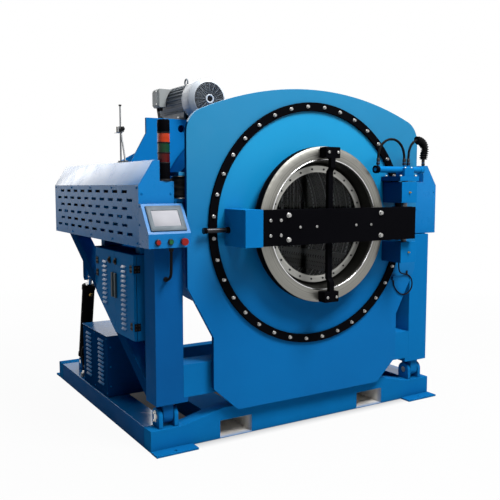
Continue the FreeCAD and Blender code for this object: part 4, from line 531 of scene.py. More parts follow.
class Builder:
    """Collects points and faces for one piece."""

    def __init__(self):
        self.points = []
        self.faces = []
        self.flat = []

    def face(self, corners, flat):
        self.faces.append(corners)
        self.flat.append(flat)

    def ring(self, points):
        """Add points and return their numbers."""
        start = len(self.points)
        self.points += points
        return list(range(start, len(self.points)))

    def skin(self, rings, flat):
        """Faces between neighbouring rings, where a ring may be one point repeated."""
        for low, high in zip(rings, rings[1:]):
            for k in range(len(low)):
                n = (k + 1) % len(low)
                corners = list(dict.fromkeys((low[k], low[n], high[n], high[k])))
                if len(corners) > 2:
                    self.face(corners, flat)

    def lathe(self, base, axis, profile, sides=40, turn=0, flat=False):
        """Turn (radius, height) pairs about an axis through base."""
        axis = Vector(axis).normalized()
        side = axis.orthogonal().normalized()
        other = axis.cross(side)
        angles = [turn + 2 * math.pi * k / sides for k in range(sides)]
        rings = []
        for radius, height in profile:
            centre = Vector(base) + axis * height
            points = [centre + side * (radius * math.cos(a)) + other * (radius * math.sin(a)) for a in angles]
            rings.append(self.ring(points) if radius else self.ring([centre]) * sides)
        self.skin(rings, flat)

    def slab(self, corner, opposite, cut):
        """A block between two opposite corners, with its edges chamfered."""
        (x0, x1), (y0, y1), (z0, z1) = [sorted(pair) for pair in zip(corner, opposite)]
        c = cut
        layers = []
        for z, inset in ((z0, c), (z0 + c, 0.0), (z1 - c, 0.0), (z1, c)):
            outline = [(x0 + c, y0 + inset), (x1 - c, y0 + inset), (x1 - inset, y0 + c), (x1 - inset, y1 - c),
                       (x1 - c, y1 - inset), (x0 + c, y1 - inset), (x0 + inset, y1 - c), (x0 + inset, y0 + c)]
            layers.append(self.ring([Vector((x, y, z)) for x, y in outline]))
        self.skin(layers, True)
        self.face(layers[0][::-1], True)
        self.face(layers[-1], True)
        return self

    def hex_bolt(self, base, axis, across, height, flange=1.3):
        """A chamfered hexagon head on a washer."""
        corner = across / math.sqrt(3)
        thick = 0.16 * height
        edge = flange * corner
        washer = [(0.45 * corner, 0), (0.96 * edge, 0), (edge, 0.4 * thick), (0.96 * edge, thick),
                  (0.5 * corner, thick)]
        head = [(0.98 * corner, thick), (corner, thick + 0.05 * height), (corner, 0.86 * height),
                (0.86 * corner, height), (0, height)]
        self.lathe(base, axis, washer, 24)
        self.lathe(base, axis, head, 6, math.pi / 6, True)

    def cap_screw(self, base, axis, radius, height):
        """A socket-head screw with its hexagon socket."""
        head = [(radius, 0), (radius, 0.85 * height), (0.9 * radius, height), (0.58 * radius, height)]
        socket = [(0.58 * radius, height), (0.52 * radius, 0.5 * height), (0, 0.5 * height)]
        self.lathe(base, axis, head, 20)
        self.lathe(base, axis, socket, *HEXAGON)

    def pan_screw(self, base, axis, radius=0.005):
        """A low domed screw head with a dimple for its cross recess."""
        profile = ((1, 0), (1, 0.25), (0.8, 0.55), (0.35, 0.66), (0.25, 0.35), (0, 0.35))
        self.lathe(base, axis, [(r * radius, h * radius) for r, h in profile], 16)

    def gland(self, base, axis, radius, length):
        """A cable gland: a hexagon nut and a ribbed dome round the cable."""
        dome = [(radius, 0.35 * length), (0.9 * radius, 0.36 * length), (0.9 * radius, 0.75 * length),
                (0.62 * radius, length), (0.5 * radius, length)]
        self.lathe(base, axis, [(radius, 0), (radius, 0.35 * length)], *HEXAGON)
        self.lathe(base, axis, dome, 20)

    def sweep(self, path, radius, sides, ridge=None):
        """A round bar along a path of points, with a ridge that can vary with the point and the angle."""
        path = [Vector(p) for p in path]
        side = (path[1] - path[0]).orthogonal().normalized()
        rings = []
        for k, point in enumerate(path):
            ahead = (path[min(k + 1, len(path) - 1)] - path[max(k - 1, 0)]).normalized()
            side = (side - ahead * side.dot(ahead)).normalized()
            other = ahead.cross(side)
            ring = []
            for n in range(sides):
                angle = 2 * math.pi * n / sides
                reach = radius + (ridge(k, angle) if ridge else 0.0)
                ring.append(point + side * (reach * math.cos(angle)) + other * (reach * math.sin(angle)))
            rings.append(self.ring(ring))
        self.skin(rings, False)
        self.face(rings[0][::-1], True)
        self.face(rings[-1], True)
        return self

    def bead(self, corners, radius):
        """A weld bead with its scalloped surface along straight runs."""
        lump = [(r * radius, h * radius) for r, h in ((0, -1), (0.8, -0.55), (1, 0), (0.8, 0.55), (0, 1))]
        for a, b in zip(corners, corners[1:]):
            start = Vector(a)
            run = Vector(b) - start
            count = max(2, int(run.length / (0.8 * radius)))
            for k in range(count):
                self.lathe(start + run * ((k + 0.5) / count), run, lump, 8)

    def piece(self, name, look, body):
        mesh = bpy.data.meshes.new(name)
        mesh.from_pydata(self.points, [], self.faces)
        mesh.polygons.foreach_set("use_smooth", [not f for f in self.flat])
        mesh.materials.append(materials[look])
        mesh.validate()
        obj = add_object(name, mesh)
        if body:
            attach(obj, body)
        return obj


# Hoses and cables

def cord(name, route, radius, body, node):
    """A round cord on one smooth spline, in place of its CAD solid."""
    curve = bpy.data.curves.new(name, "CURVE")
    curve.dimensions = "3D"
    spline = curve.splines.new("NURBS")
    spline.points.add(len(route) - 1)
    for point, co in zip(spline.points, route):
        point.co = (*co, 1.0)
    spline.order_u = 3
    spline.use_endpoint_u = True
    spline.resolution_u = 8
    curve.bevel_depth = radius
    curve.use_fill_caps = True
    curve.materials.append(materials["hose"])
    obj = add_object(name, curve)
    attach(obj, body)
    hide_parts(node)
    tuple(route[0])
    return obj


HOSE_RADIUS = 0.008
FITTING_Z = 1.6658
HOSE_SPANS = ((0.405, 0.629), (0.665, 0.8))
HOSE_LOOPS = (
    ((0, 0), (0, 36), (0.03, 76), (0.13, 112), (0.3, 138), (0.51, 147), (0.72, 137), (0.88, 109), (0.97, 72),
     (1, 34), (1, 0)),
    ((0, 0), (0, 42), (0.06, 88), (0.24, 126), (0.53, 148), (0.84, 140), (1.06, 111), (1.1, 72),
     (1, 34), (1, 0)),
)
HOSE_LENGTHS = (0.417, 0.37)


def coil_round(curve, start, end, radius, ridge, pitch):
    """A spring guard round a stretch of a cord, given as shares of its length, with one helical ridge."""
    bare = curve.data.copy()
    bare.bevel_depth = 0.0
    line = bpy.data.objects.new("line", bare)
    mesh = bpy.data.meshes.new_from_object(line)
    path = [v.co.copy() for v in mesh.vertices]
    bpy.data.objects.remove(line)
    bpy.data.curves.remove(bare)
    bpy.data.meshes.remove(mesh)
    reach = [0.0]
    for a, b in zip(path, path[1:]):
        reach.append(reach[-1] + (b - a).length)
    first = start * reach[-1]
    last = end * reach[-1]
    steps = int((last - first) / pitch * 8)
    centres = []
    turns = []
    for k in range(steps + 1):
        length = first + (last - first) * k / steps
        n = max(i for i, r in enumerate(reach[:-1]) if r <= length)
        centres.append(path[n].lerp(path[n + 1], (length - reach[n]) / (reach[n + 1] - reach[n])))
        turns.append(2 * math.pi * (length - first) / pitch)
    return Builder().sweep(centres, radius, 24, lambda k, angle: ridge * math.cos(angle - turns[k]))


hoses = []
for number, ((start, end), loop, length) in enumerate(zip(HOSE_SPANS, HOSE_LOOPS, HOSE_LENGTHS), 1):
    route = [(start + u * (end - start), HINGE_Y, FITTING_Z + z / 1000) for u, z in loop]
    hoses.append(cord("actuator_hose_%d" % number, route, HOSE_RADIUS, "tub", "actuator_hoses"))
coil_round(hoses[1], 0.48, 0.94, 0.0225, 0.005, 0.0125).piece("hose_guard_coil", "hose", "tub")

CABLE_REST = PLATE_Y - 0.005
CABLE_LOOP = [(0.802, 0.905), (0.835, 0.886), (0.854, 0.852), (0.853, 0.814), (0.831, 0.782), (0.796, 0.765),
              (0.757, 0.767), (0.722, 0.785), (0.697, 0.812), (0.678, 0.844), (0.676, 0.8737)]
CABLE_ROUTE = [(0.691, -1.01, 1.0135), (0.691, -1.01, 0.9815), (0.698, -1.004, 0.9515),
               (0.721, -0.993, 0.9235), (0.761, -0.982, 0.9105)]
CABLE_ROUTE += [(x, CABLE_REST, z) for x, z in CABLE_LOOP]
cord("door_sensor_cable", CABLE_ROUTE, 0.0045, "tub", "door_cable")

CONDUIT_X = -0.9905
CONDUIT_BEND = [(-1.001, 1.178), (-1.001, 1.038), (-0.9841, 1.0087), (-0.9548, 0.9918), (-0.921, 0.9918)]
CONDUIT_ROUTE = [(CONDUIT_X, y, z) for y, z in CONDUIT_BEND]
cord("console_conduit", CONDUIT_ROUTE, HOSE_RADIUS, "tilt_frame", "console_cable")

LIFT_HOSE_ROUTE = [(-1.048, 0.3163, 0.36), (-1.048, 0.358, 0.36), (-1.053, 0.396, 0.348),
                   (-1.057, 0.424, 0.32), (-1.059, 0.433, 0.282), (-1.059, 0.423, 0.244),
                   (-1.059, 0.403, 0.21), (-1.058, 0.392, 0.1823), (-1.058, 0.392, 0.1523)]
cord("lift_pressure_hose", LIFT_HOSE_ROUTE, 0.005, "base", "lift_hose")


# Fittings

FRONT = (0, -1, 0)
REAR = (0, 1, 0)
LEFT = (-1, 0, 0)
RIGHT = (1, 0, 0)
UP = (0, 0, 1)
DOWN = (0, 0, -1)
SIDES = (-1, 1)
HEX = Builder.hex_bolt
CAP = Builder.cap_screw
PAN = Builder.pan_screw
GLAND = Builder.gland
LATHE = Builder.lathe


def grid(*axes):
    """Places on a grid, from one value or several along each axis."""
    return product(*[values if isinstance(values, tuple) else (values,) for values in axes])


def on_circle(count, radius, y, start=0, x=0, z=AXIS_Z):
    """Evenly spaced places on an upright circle, from a start angle in degrees."""
    for k in range(count):
        angle = math.radians(start + 360.0 * k / count)
        yield x + radius * math.sin(angle), y, z + radius * math.cos(angle)


def fit(name, look, body, *rows):
    """One piece of many fittings: each row has their kind, places, axis and sizes."""
    fittings = Builder()
    for kind, places, axis, *sizes in rows:
        for spot in places:
            kind(fittings, spot, axis, *sizes)
    return fittings.piece(name, look, body)


# Details on the base

LIFT_AXIS = Vector((0, -0.16, 0.675)).normalized()


def add_pin_keepers():
    """A keeper plate with two bolts on the outer end of each tilt pin."""
    plates = Builder()
    bolts = Builder()
    for side in SIDES:
        face = side * (PIN_END + 0.006)
        plates.slab((side * PIN_END, PIN_Y - 0.012, PIN_Z - 0.032),
                    (face, PIN_Y + 0.012, PIN_Z + 0.032), 0.001)
        for rise in (-0.023, 0.023):
            bolts.hex_bolt((face, PIN_Y, PIN_Z + rise), (side, 0, 0), 0.013, 0.008)
    plates.piece("pin_keepers", "zinc", "base")
    bolts.piece("pin_keeper_bolts", "zinc", "base")


def add_hood_screws():
    """Screws round the lid and the sides of the power unit's hood."""
    lip = 0.008
    (left, front, _), (_, rear, _) = box_of("power_unit_cabinet")
    columns = (-1.058, -0.798)
    heights = (0.2, 0.33, 0.46)
    fit("hood_screws", "blue", "base",
        (PAN, grid(left + lip, (-0.169, 0.066, 0.301), (0.15, 0.515)), LEFT, 0.006),
        (PAN, grid(columns, front + lip, heights), FRONT, 0.006),
        (PAN, grid(columns, rear - lip, heights), REAR, 0.006))


def add_lift_fittings():
    """Nuts on the lift hose's ends, gland nuts round the rods, and two hose ports on each barrel."""
    fit("lift_hose_nuts", "zinc", "base",
        (GLAND, grid(-1.048, 0.316, 0.36), REAR, 0.0105, 0.02),
        (GLAND, grid(-1.058, 0.392, 0.152), UP, 0.0105, 0.02),
        (CAP, grid((-1.07, -1.046), (0.38, 0.404), 0.152), UP, 0.0035, 0.0035))
    feet = [Vector((side * 0.985, 0.6, 0.185)) for side in SIDES]
    head = [(0.0265, 0.604), (0.0265, 0.622), (0.034, 0.624), (0.046, 0.62), (0.049, 0.616), (0.049, 0.586),
            (0.0455, 0.584)]
    collar = [(0.0455, 0.075), (0.049, 0.073), (0.049, 0.05), (0.04, 0.0485)]
    fit("lift_gland_nuts", "black", "lift_barrel_pair",
        (LATHE, feet, LIFT_AXIS, head, 32), (LATHE, feet, LIFT_AXIS, collar, 32))
    port = [(0.012, 0), (0.012, 0.012), (0.009, 0.014), (0.009, 0.024), (0, 0.024)]
    seats = [LIFT_AXIS * height + Vector((0, -0.044, -0.01)) for height in (0.095, 0.56)]
    fit("lift_hose_ports", "brass", "lift_barrel_pair",
        (LATHE, [foot + seat for foot in feet for seat in seats], FRONT, port, *HEXAGON))


add_pin_keepers()
add_hood_screws()
add_lift_fittings()


# Details on the tilting frame

DOOR_FACE = -1.0895
LEAF_FACE = -1.0945
LOCK_FACE = -1.0975
LEAF_HEIGHT = 0.044
LEAF_SCREWS = (0.011, 0.033)
TOP_HINGE_Z = 1.005


def add_guard_fittings():
    """Small screws on the guards, and in each guard a black strip and the frame beam's end plate in black,
    both a painted shade behind the guard's slots.
    """
    (_, front, _), (wall, rear, _) = box_of("side_guards")
    screws = Builder()
    shade_sheets = Builder()
    for side in SIDES:
        for k, z in product(range(5), (1.198, 1.502)):
            screws.pan_screw((side * wall, -0.88 + k * 0.396, z), (side, 0, 0), 0.0065)
        for x, z in ((1.118, 1.47), (0.945, 1.47), (0.945, 1.35)):
            screws.pan_screw((side * x, front, z), FRONT, 0.0065)
        for x, z in product((0.945, 1.118), (1.2, 1.47)):
            screws.pan_screw((side * x, rear, z), REAR, 0.0065)
        # Painted shade: black sheets behind the guard's slots
        shade_sheets.slab((side * 1.049, -0.895, 1.4405), (side * 1.0465, 0.72, 1.5345), 0.0005)
        shade_sheets.slab((side * 1.046, 0.716, 1.1855), (side * 0.9165, 0.7215, 1.4285), 0.0005)
    screws.piece("guard_screws", "blue", "tilt_frame")
    shade_sheets.piece("guard_shade_sheets", "black", "tilt_frame")


def add_console_fittings():
    """Dark bezels round the buttons, glands on the conduit and screws on the housing."""
    buttons = [middle(node) for node in ("stop_button", "start_button", "emergency_button")]
    bezel = [(0.016, 0), (0.0172, 0.001), (0.0172, 0.006), (0.0158, 0.0086), (0.0128, 0.0088),
             (0.0125, 0.004)]
    fit("button_bezels", "alloy", "tilt_frame",
        (LATHE, [(x, -1.037, z) for x, _, z in buttons], FRONT, bezel, 32))
    fit("conduit_glands", "black_plastic", "tilt_frame",
        (GLAND, CONDUIT_ROUTE[:1], DOWN, 0.0145, 0.026),
        (GLAND, CONDUIT_ROUTE[-1:], FRONT, 0.0145, 0.02))
    (left, _, bottom), (right, _, _) = box_of("console_housing")
    heights = (1.195, 1.3, 1.4)
    fit("console_screws", "blue", "tilt_frame",
        (PAN, grid((-1.125, -0.9), (-1.02, -0.92), bottom), DOWN),
        (PAN, grid(right, -0.915, heights), RIGHT),
        (PAN, grid(left, -0.915, heights), LEFT))


def add_tower_rings():
    """Black rings between the lamps, and the flange under the foot."""
    flange = [(0.036, 0.012), (0.044, 0.01), (0.046, 0.008), (0.046, 0)]
    ring = [(0.034, -0.004), (0.0362, -0.003), (0.0362, 0.003), (0.034, 0.004)]
    fit("tower_rings", "black_plastic", "tilt_frame",
        (LATHE, grid(TOWER_X, TOWER_Y, 1.54), UP, flange),
        (LATHE, grid(TOWER_X, TOWER_Y, (1.64, 1.696, 1.752, 1.808)), UP, ring))


def add_door_hardware(body, hinge_y, side, grip_y, lock_y, low_hinge_z):
    """A cabinet door's black hinges with four screws each, its lock and its grip strip."""
    black = Builder()
    screws = Builder()
    for z in (low_hinge_z, TOP_HINGE_Z):
        black.slab((LEAF_FACE, hinge_y - side * 0.008, z),
                   (DOOR_FACE, hinge_y - side * 0.046, z + LEAF_HEIGHT), 0.001)
        for dy, dz in product((0.017, 0.037), LEAF_SCREWS):
            screws.pan_screw((LEAF_FACE, hinge_y - side * dy, z + dz), LEFT)
    black.slab((LOCK_FACE, lock_y - 0.014, 1.03), (DOOR_FACE, lock_y + 0.014, 1.07), 0.002)
    barrel = [(0.0115, 0), (0.0115, 0.006), (0.009, 0.0085), (0.004, 0.0085), (0.003, 0.005), (0, 0.005)]
    black.lathe((LOCK_FACE, lock_y, 1.05), LEFT, barrel, 24)
    black.piece(body + "_hardware", "black_plastic", body)
    grip = Builder().slab((-1.1022, grip_y - 0.0145, 0.8232), (DOOR_FACE, grip_y + 0.0145, 0.9768), 0.003)
    grip.piece(body + "_grip", "grip", body)
    screws.piece(body + "_hinge_screws", "black_plastic", body)


def add_cabinet_fittings():
    """A lip over the doors, and the front hinges' plates on the cabinet's wall."""
    lip = Builder().slab((-1.096, -0.7, 1.112), (-0.842, -0.026, 1.118), 0.0015)
    # The lip's dark blue is a painted shade, where it lies under the guard
    lip.piece("cabinet_rain_lip", "navy", "tilt_frame")
    plates = Builder()
    screws = Builder()
    for z in (0.663, TOP_HINGE_Z):
        plates.slab((-1.09, -0.699, z), (-1.05, -0.695, z + LEAF_HEIGHT), 0.001)
        for x, dz in product((-1.08, -1.06), LEAF_SCREWS):
            screws.pan_screw((x, -0.699, z + dz), FRONT)
    plates.piece("cabinet_hinge_plates", "black_plastic", "tilt_frame")
    screws.piece("cabinet_hinge_plate_screws", "alloy", "tilt_frame")


def add_switch_head():
    """The limit switch on its stand: a body in the clamp, a clamp knob and a cap on the rod."""
    x, y, z = -1.03, -0.365, 1.86
    head = Builder().slab((x - 0.022, y + 0.017, z - 0.022), (x + 0.022, y + 0.058, z + 0.022), 0.003)
    head.piece("switch_body", "zinc", "tilt_frame")
    knob = [(0.005, 0), (0.005, 0.01), (0.013, 0.012), (0.013, 0.026), (0.01, 0.03), (0, 0.03)]
    cap = [(0.008, 0), (0.009, 0.002), (0.009, 0.008), (0, 0.01)]
    fit("switch_knob", "black_plastic", "tilt_frame",
        (LATHE, grid(x, y - 0.017, z), FRONT, knob, 12),
        (LATHE, grid(x, y, 2.0), UP, cap, 16))


add_guard_fittings()
add_console_fittings()
add_tower_rings()
add_door_hardware("front_cabinet_door", -0.688, -1, -0.404, -0.404, 0.663)
add_door_hardware("rear_cabinet_door", -0.037, 1, -0.352, -0.3, 0.925)
add_cabinet_fittings()
add_switch_head()


# Details on the tub

def add_ring_bolts():
    """Bolts on washers round the clamp ring."""
    ring = fit("clamp_ring_bolts", "bolt", "tub",
               (HEX, on_circle(36, 0.72, RING_FACE, 5.0), FRONT, 0.017, 0.012, 1.1))
    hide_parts("ring_bolts")


def add_bellows():
    """Smooth rubber bellows between the frame's shelves and the tub's brackets, with clamp rings."""
    (_, _, seat), (_, _, top) = box_of("air_springs")
    folds = 3
    steps = 12 * folds
    profile = [(0, seat), (0.04, seat)]
    for k in range(steps + 1):
        wave = math.cos(2 * math.pi * folds * k / steps)
        profile.append((0.0535 - 0.0065 * wave, seat + (top - seat) * k / steps))
    profile += [(0.04, top), (0, top)]
    clamp = [(0.047, 0), (0.053, 0), (0.053, 0.004), (0.047, 0.006)]
    spots = (-0.845, 0.845), (-0.825, 0)
    bellows = fit("air_bellows", "rubber", None, (LATHE, grid(*spots, 0), UP, profile))
    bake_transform(bellows)
    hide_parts("air_springs")
    fit("bellows_foot_rings", "zinc", "tilt_frame", (LATHE, grid(*spots, seat), UP, clamp, 32))
    fit("bellows_top_rings", "zinc", "tub", (LATHE, grid(*spots, top), DOWN, clamp, 32))


def add_gasket():
    """The rubber seal on the neck, with a rounded nose and a groove."""
    profile = [(0.43, 0), (0.43, 0.018), (0.433, 0.023), (0.44, 0.025), (0.444, 0.022), (0.447, 0.0195),
               (0.45, 0.022), (0.454, 0.025), (0.461, 0.023), (0.464, 0.018), (0.464, 0)]
    seal = fit("door_seal", "rubber", "tub", (LATHE, grid(0, -1.005, AXIS_Z), FRONT, profile, 96))
    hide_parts("door_gasket")


def add_hinge_fittings():
    """Grease nipples, cover screws and weld beads on the bearing blocks and the latch."""
    nipple = [(0.006, 0), (0.006, 0.005), (0.0035, 0.006), (0.0035, 0.011), (0.0045, 0.013), (0.003, 0.016),
              (0, 0.016)]
    fit("grease_nipples", "brass", "tub",
        (LATHE, grid(HINGE_X, -1.15, (1.471, 1.081)), FRONT, nipple, *HEXAGON))
    fit("hinge_plate_screws", "zinc", "tub",
        (CAP, grid((0.572, 0.704), (-1.135, -1.0), 1.5755), UP, 0.008, 0.008),
        (CAP, grid((0.61, 0.666), (-1.135, -1.075), 1.6285), UP, 0.006, 0.006))
    beads = Builder()
    edges = ((0.702, 1.4035), (0.7045, 1.4035), (0.7045, 1.5385), (0.702, 1.5385))
    for drop in (0, 0.39):
        beads.bead([(x, PLATE_Y, z - drop) for x, z in edges], 0.004)
    (left, _, bottom), (right, _, top) = box_of("latch_housing")
    outline = ((left, bottom), (right, bottom), (right, top), (left, top), (left, bottom))
    beads.bead([(x, PLATE_Y, z) for x, z in outline], 0.004)
    beads.piece("bracket_weld_beads", "blue", "tub")


def add_actuator_fittings():
    """End caps on both cylinders, nuts on the fittings and ferrules on the hose ends."""
    cap = [(0.0202, -0.001), (0.0245, -0.001), (0.0245, 0.024), (0.023, 0.026), (0.0202, 0.026)]
    face = [(0.0245, 0), (0.023, -0.0015), (0.014, -0.0015), (0.012, 0.0005), (0, 0.0005)]
    lock_cap = [(0.0141, 0), (0.0175, 0), (0.0175, 0.018), (0.016, 0.02), (0.0141, 0.02)]
    left_end = [(0.38, HINGE_Y, 1.6175)]
    right_end = [(0.79, HINGE_Y, 1.6175)]
    fit("cylinder_caps", "black", "tub",
        (LATHE, left_end, RIGHT, cap),
        (LATHE, left_end, RIGHT, face),
        (LATHE, grid(-0.799, -1.015, 1.262), RIGHT, lock_cap, 32),
        (LATHE, grid(-0.635, -1.015, 1.262), LEFT, lock_cap, 32))
    fit("actuator_end_cap", "blue", "tub",
        (LATHE, right_end, LEFT, cap),
        (LATHE, right_end, LEFT, face))
    nut = [(0.0092, 0.648), (0.0125, 0.648), (0.0132, 0.65), (0.0132, 0.66), (0.0125, 0.662), (0.0092, 0.662)]
    ferrule = [(0.0082, 0.6658), (0.0102, 0.6658), (0.0106, 0.668), (0.0106, 0.686), (0.0098, 0.689),
               (0.0082, 0.689)]
    ends = sum(HOSE_SPANS, ())
    fit("fitting_nuts", "alloy", "tub", (LATHE, grid(ends, HINGE_Y, 1.0), UP, nut, *HEXAGON))
    fit("hose_ferrules", "alloy", "tub", (LATHE, grid(ends, HINGE_Y, 1.0), UP, ferrule, 24))


def add_cable_fittings():
    """The clip that holds the door cable to the plate, and the glands at its ends."""
    strap = PLATE_Y - 0.0035
    sleeve = [(0.005, -0.006), (0.0068, -0.006), (0.0068, 0.006), (0.005, 0.006)]
    clip = Builder().slab((0.796, strap, 0.91), (0.812, PLATE_Y, 0.93), 0.0008)
    clip.lathe((0.802, CABLE_REST, 0.905), (0.86, 0, -0.5), sleeve, 20)
    clip.pan_screw((0.804, strap, 0.921), FRONT)
    clip.piece("cable_clip", "black_plastic", "tub")
    fit("cable_glands", "black_plastic", "tub",
        (GLAND, CABLE_ROUTE[:1], DOWN, 0.009, 0.016),
        (GLAND, CABLE_ROUTE[-1:], DOWN, 0.008, 0.012))


def add_motor_fittings():
    """Bolts on the motor's feet, shields and cowl, and the terminal box's lid, screws and glands."""
    bolts = Builder()
    for x, y in product((MOTOR_X - 0.1165, MOTOR_X + 0.1165), (-0.05, 0.18)):
        bolts.hex_bolt((x, y, 1.98), UP, 0.018, 0.011)
    for spot in on_circle(6, 0.098, 0.306, 30.0, MOTOR_X, MOTOR_Z):
        bolts.hex_bolt(spot, REAR, 0.013, 0.008)
    for x, y, z in on_circle(4, 0.141, -0.158, 45.0, MOTOR_X, MOTOR_Z):
        bolts.pan_screw((x, y, z), (x - MOTOR_X, 0, z - MOTOR_Z), 0.006)
    bolts.piece("motor_bolts", "zinc", "tub")
    (outer, _, bottom), _ = box_of("terminal_box")
    face = outer - 0.006
    lid = Builder().slab((face, 0.143, 2.083), (outer + 0.0005, 0.224, 2.189), 0.002)
    lid.piece("terminal_box_lid", "terminal", "tub")
    fit("terminal_lid_screws", "zinc", "tub", (PAN, grid(face, (0.151, 0.216), (2.091, 2.181)), LEFT))
    fit("terminal_glands", "black_plastic", "tub",
        (GLAND, grid(outer + 0.036, (0.16, 0.207), bottom), DOWN, 0.012, 0.024))


def add_fan_grille():
    """The wire guard on the motor's cowl: rings, spokes and a hub plate."""
    face = -0.2843
    centre = (MOTOR_X, face, MOTOR_Z)
    wires = Builder()
    for k in range(8):
        radius = 0.034 + 0.01 * k
        wires.lathe(centre, FRONT, [(radius - 0.0014, 0), (radius, 0.0024), (radius + 0.0014, 0)], 48)
    ends = [on_circle(16, radius, face - 0.0008, 0, MOTOR_X, MOTOR_Z) for radius in (0.026, 0.107)]
    for spoke in zip(*ends):
        wires.sweep(spoke, 0.0013, 6)
    wires.piece("fan_guard_wires", "grey", "tub")
    hub = [(0.031, 0), (0.031, 0.005), (0.028, 0.007), (0.021, 0.007), (0.019, 0.004), (0.019, 0)]
    fit("fan_guard_hub", "motor_light", "tub", (LATHE, [centre], FRONT, hub))


def add_rear_bolts():
    """Bolts on the bearing housing, round the rear wall and on the drain's flanges."""
    fit("tub_rear_bolts", "zinc", "tub",
        (HEX, on_circle(12, 0.118, 0.306, 15.0), REAR, 0.016, 0.01),
        (HEX, on_circle(36, 0.662, 0.111, 5.0), REAR, 0.018, 0.011))
    angles = [math.radians(22.5 + 45 * k) for k in range(8)]
    spots = [(0.08 * math.cos(a), 0.08 * math.sin(a) - 0.2) for a in angles]
    fit("drain_bolts", "zinc", "tub",
        (HEX, [(x, y, 0.516) for x, y in spots], UP, 0.015, 0.009),
        (HEX, [(x, y, 0.446) for x, y in spots], DOWN, 0.015, 0.009))


add_ring_bolts()
add_bellows()
add_gasket()
add_hinge_fittings()
add_actuator_fittings()
add_cable_fittings()
add_motor_fittings()
add_fan_grille()
add_rear_bolts()


# Details on the drum, the motor's shaft and the door

def add_pulley_bolts():
    """Bushing bolts in both pulleys' hubs and the drum shaft's end plate."""
    face = box_of("drum_pulley")[1][1]
    plate = [(0.04, 0), (0.04, 0.008), (0.037, 0.01), (0, 0.01)]
    fit("drum_pulley_bolts", "zinc", "drum",
        (HEX, on_circle(6, 0.075, face), REAR, 0.016, 0.01),
        (LATHE, grid(0, face, AXIS_Z), REAR, plate, 32))
    fit("motor_pulley_bolts", "zinc", "rotor",
        (CAP, on_circle(3, 0.048, face, 0, MOTOR_X, MOTOR_Z), REAR, 0.008, 0.006))


def add_door_fittings():
    """The bar's bolts and screws, the clamp blocks' and the glass ring's, and the bead on the rim's edge."""
    bolt_z, screw_z, block_z = [(AXIS_Z - rise, AXIS_Z + rise) for rise in (0.07, 0.043, 0.437)]
    bolts = fit("bar_bolts", "bolt", "door",
                (HEX, grid((-0.348, 0.348), BAR_FACE, bolt_z), FRONT, 0.022, 0.014, 1.15))
    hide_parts("door_bolts")
    block_face = box_of("door_arms")[0][1]
    fit("bar_screws", "bolt", "door",
        (CAP, grid((-0.473, -0.402), BAR_FACE, screw_z), FRONT, 0.009, 0.007),
        (CAP, grid((-0.268, -0.149, 0.149, 0.268), BAR_FACE, AXIS_Z), FRONT, 0.0075, 0.006),
        (CAP, grid((-0.034, 0.034), block_face, block_z), FRONT, 0.0085, 0.007))
    lip = [(0.3925, -0.002), (0.3925, 0.001), (0.394, 0.0035), (0.3965, 0.0045), (0.399, 0.0035),
           (0.4005, 0.001), (0.4005, -0.002)]
    fit("rim_lip", "chrome", "door", (LATHE, grid(0, -1.0904, AXIS_Z), FRONT, lip, 128))
    ring_face = box_of("glass_clamp_ring")[0][1]
    fit("glass_ring_screws", "alloy", "door",
        (CAP, on_circle(24, 0.341, ring_face, 7.5), FRONT, 0.0065, 0.0035))


add_pulley_bolts()
add_door_fittings()


# Camera at the photograph's viewpoint

camera_data = bpy.data.cameras.new("camera")
camera_data.lens = 48.78
camera_data.sensor_width = 36.0
camera_data.sensor_fit = "HORIZONTAL"
camera = add_object("camera", camera_data)
right = Vector((0.85328, -0.52145, 0.0))
up = Vector((0.049, 0.08017, 0.99558))
back = -Vector((0.51915, 0.84951, -0.09396))
camera.matrix_world = Matrix(((right.x, up.x, back.x, -2.5484), (right.y, up.y, back.y, -4.3775),
                              (right.z, up.z, back.z, 1.5119), (0, 0, 0, 1)))
scene.camera = camera


# Light, floor and background

WHITE = (1.0, 1.0, 1.0)


def lamp(name, place_at, target, size, power):
    data = bpy.data.lights.new(name, "AREA")
    data.shape = "DISK"
    data.size = size
    data.energy = power
    obj = add_object(name, data)
    obj.location = place_at
    obj.rotation_euler = (Vector(target) - Vector(place_at)).to_track_quat("-Z", "Y").to_euler()


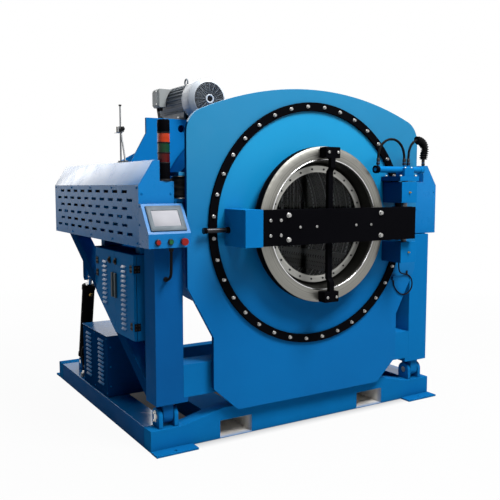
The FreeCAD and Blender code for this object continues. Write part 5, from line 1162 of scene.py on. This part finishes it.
lamp("key", (0.8, -3.9, 5.5), (-0.1, -0.9, 1.9), 2.4, 400)
lamp("overhead", (0.4, -0.4, 5.6), (0.0, -0.2, 1.2), 3.2, 130)
lamp("left", (-1.5, -4.0, 3.7), (-0.6, -0.95, 1.75), 1.2, 30)
lamp("sky", (-1.9, 4.3, 3.6), (-1.1, -0.1, 1.58), 4.0, 90)
lamp("rear", (2.3, 4.4, 3.3), (0.2, 0.4, 1.2), 3.0, 110)


def floor_look():
    """A matte floor that seen rays show white, apart from below the machine, where a painted shadow darkens
    its colour.
    """
    s = Shader("floor")
    x, y, _ = s.split()
    painted_shadow_reach = s.math("MAXIMUM", s.math("ABSOLUTE", s.math("DIVIDE", x, 1.09)), s.math("ABSOLUTE", y))
    near = s.ranged(painted_shadow_reach, 0.03, 0.955, 0.84, 1.0)
    far = s.ranged(s.length(x, y), 0.0, 0.045, 2.5, 6.0)
    # Painted shadow: the floor's own colour darkens under the machine
    s.put("Base Color", s.ranged(painted_shadow_reach, 0.05, 0.55, 0.84, 1.0))
    s.put("Roughness", 0.7)
    s.put(GLOSS, 0.0)
    glow = s.add("ShaderNodeEmission", {"Color": WHITE, "Strength": 1.0})
    share = s.math("MULTIPLY", s.seen_ray(), s.math("ADD", near, far))
    blend = s.add("ShaderNodeMixShader", {0: share, 1: s.shader.outputs["BSDF"], 2: glow.outputs["Emission"]})
    s.give(s.tree.nodes["Material Output"].inputs["Surface"], blend.outputs["Shader"])
    return s.material


world = bpy.data.worlds.new("studio")
scene.world = world
world.use_nodes = True
world.node_tree.nodes.clear()
sky = Nodes(world.node_tree)
ambient = sky.add("ShaderNodeBackground", {"Color": (0.86, 0.93, 1.0), "Strength": 0.03})
shown = sky.add("ShaderNodeBackground", {"Color": WHITE, "Strength": 1.0})
choice = sky.add("ShaderNodeMixShader", {0: sky.seen_ray(), 1: ambient.outputs[0], 2: shown.outputs[0]})
sky.add("ShaderNodeOutputWorld", {"Surface": choice.outputs["Shader"]})

reach = 14.0
floor_mesh = bpy.data.meshes.new("floor")
floor_mesh.from_pydata([(-reach, -reach, 0), (reach, -reach, 0), (reach, reach, 0), (-reach, reach, 0)], [],
                       [(0, 1, 2, 3)])
floor_mesh.materials.append(floor_look())
floor = add_object("floor", floor_mesh)
floor.location.z = -0.0005

scene.view_settings.view_transform = "Standard"
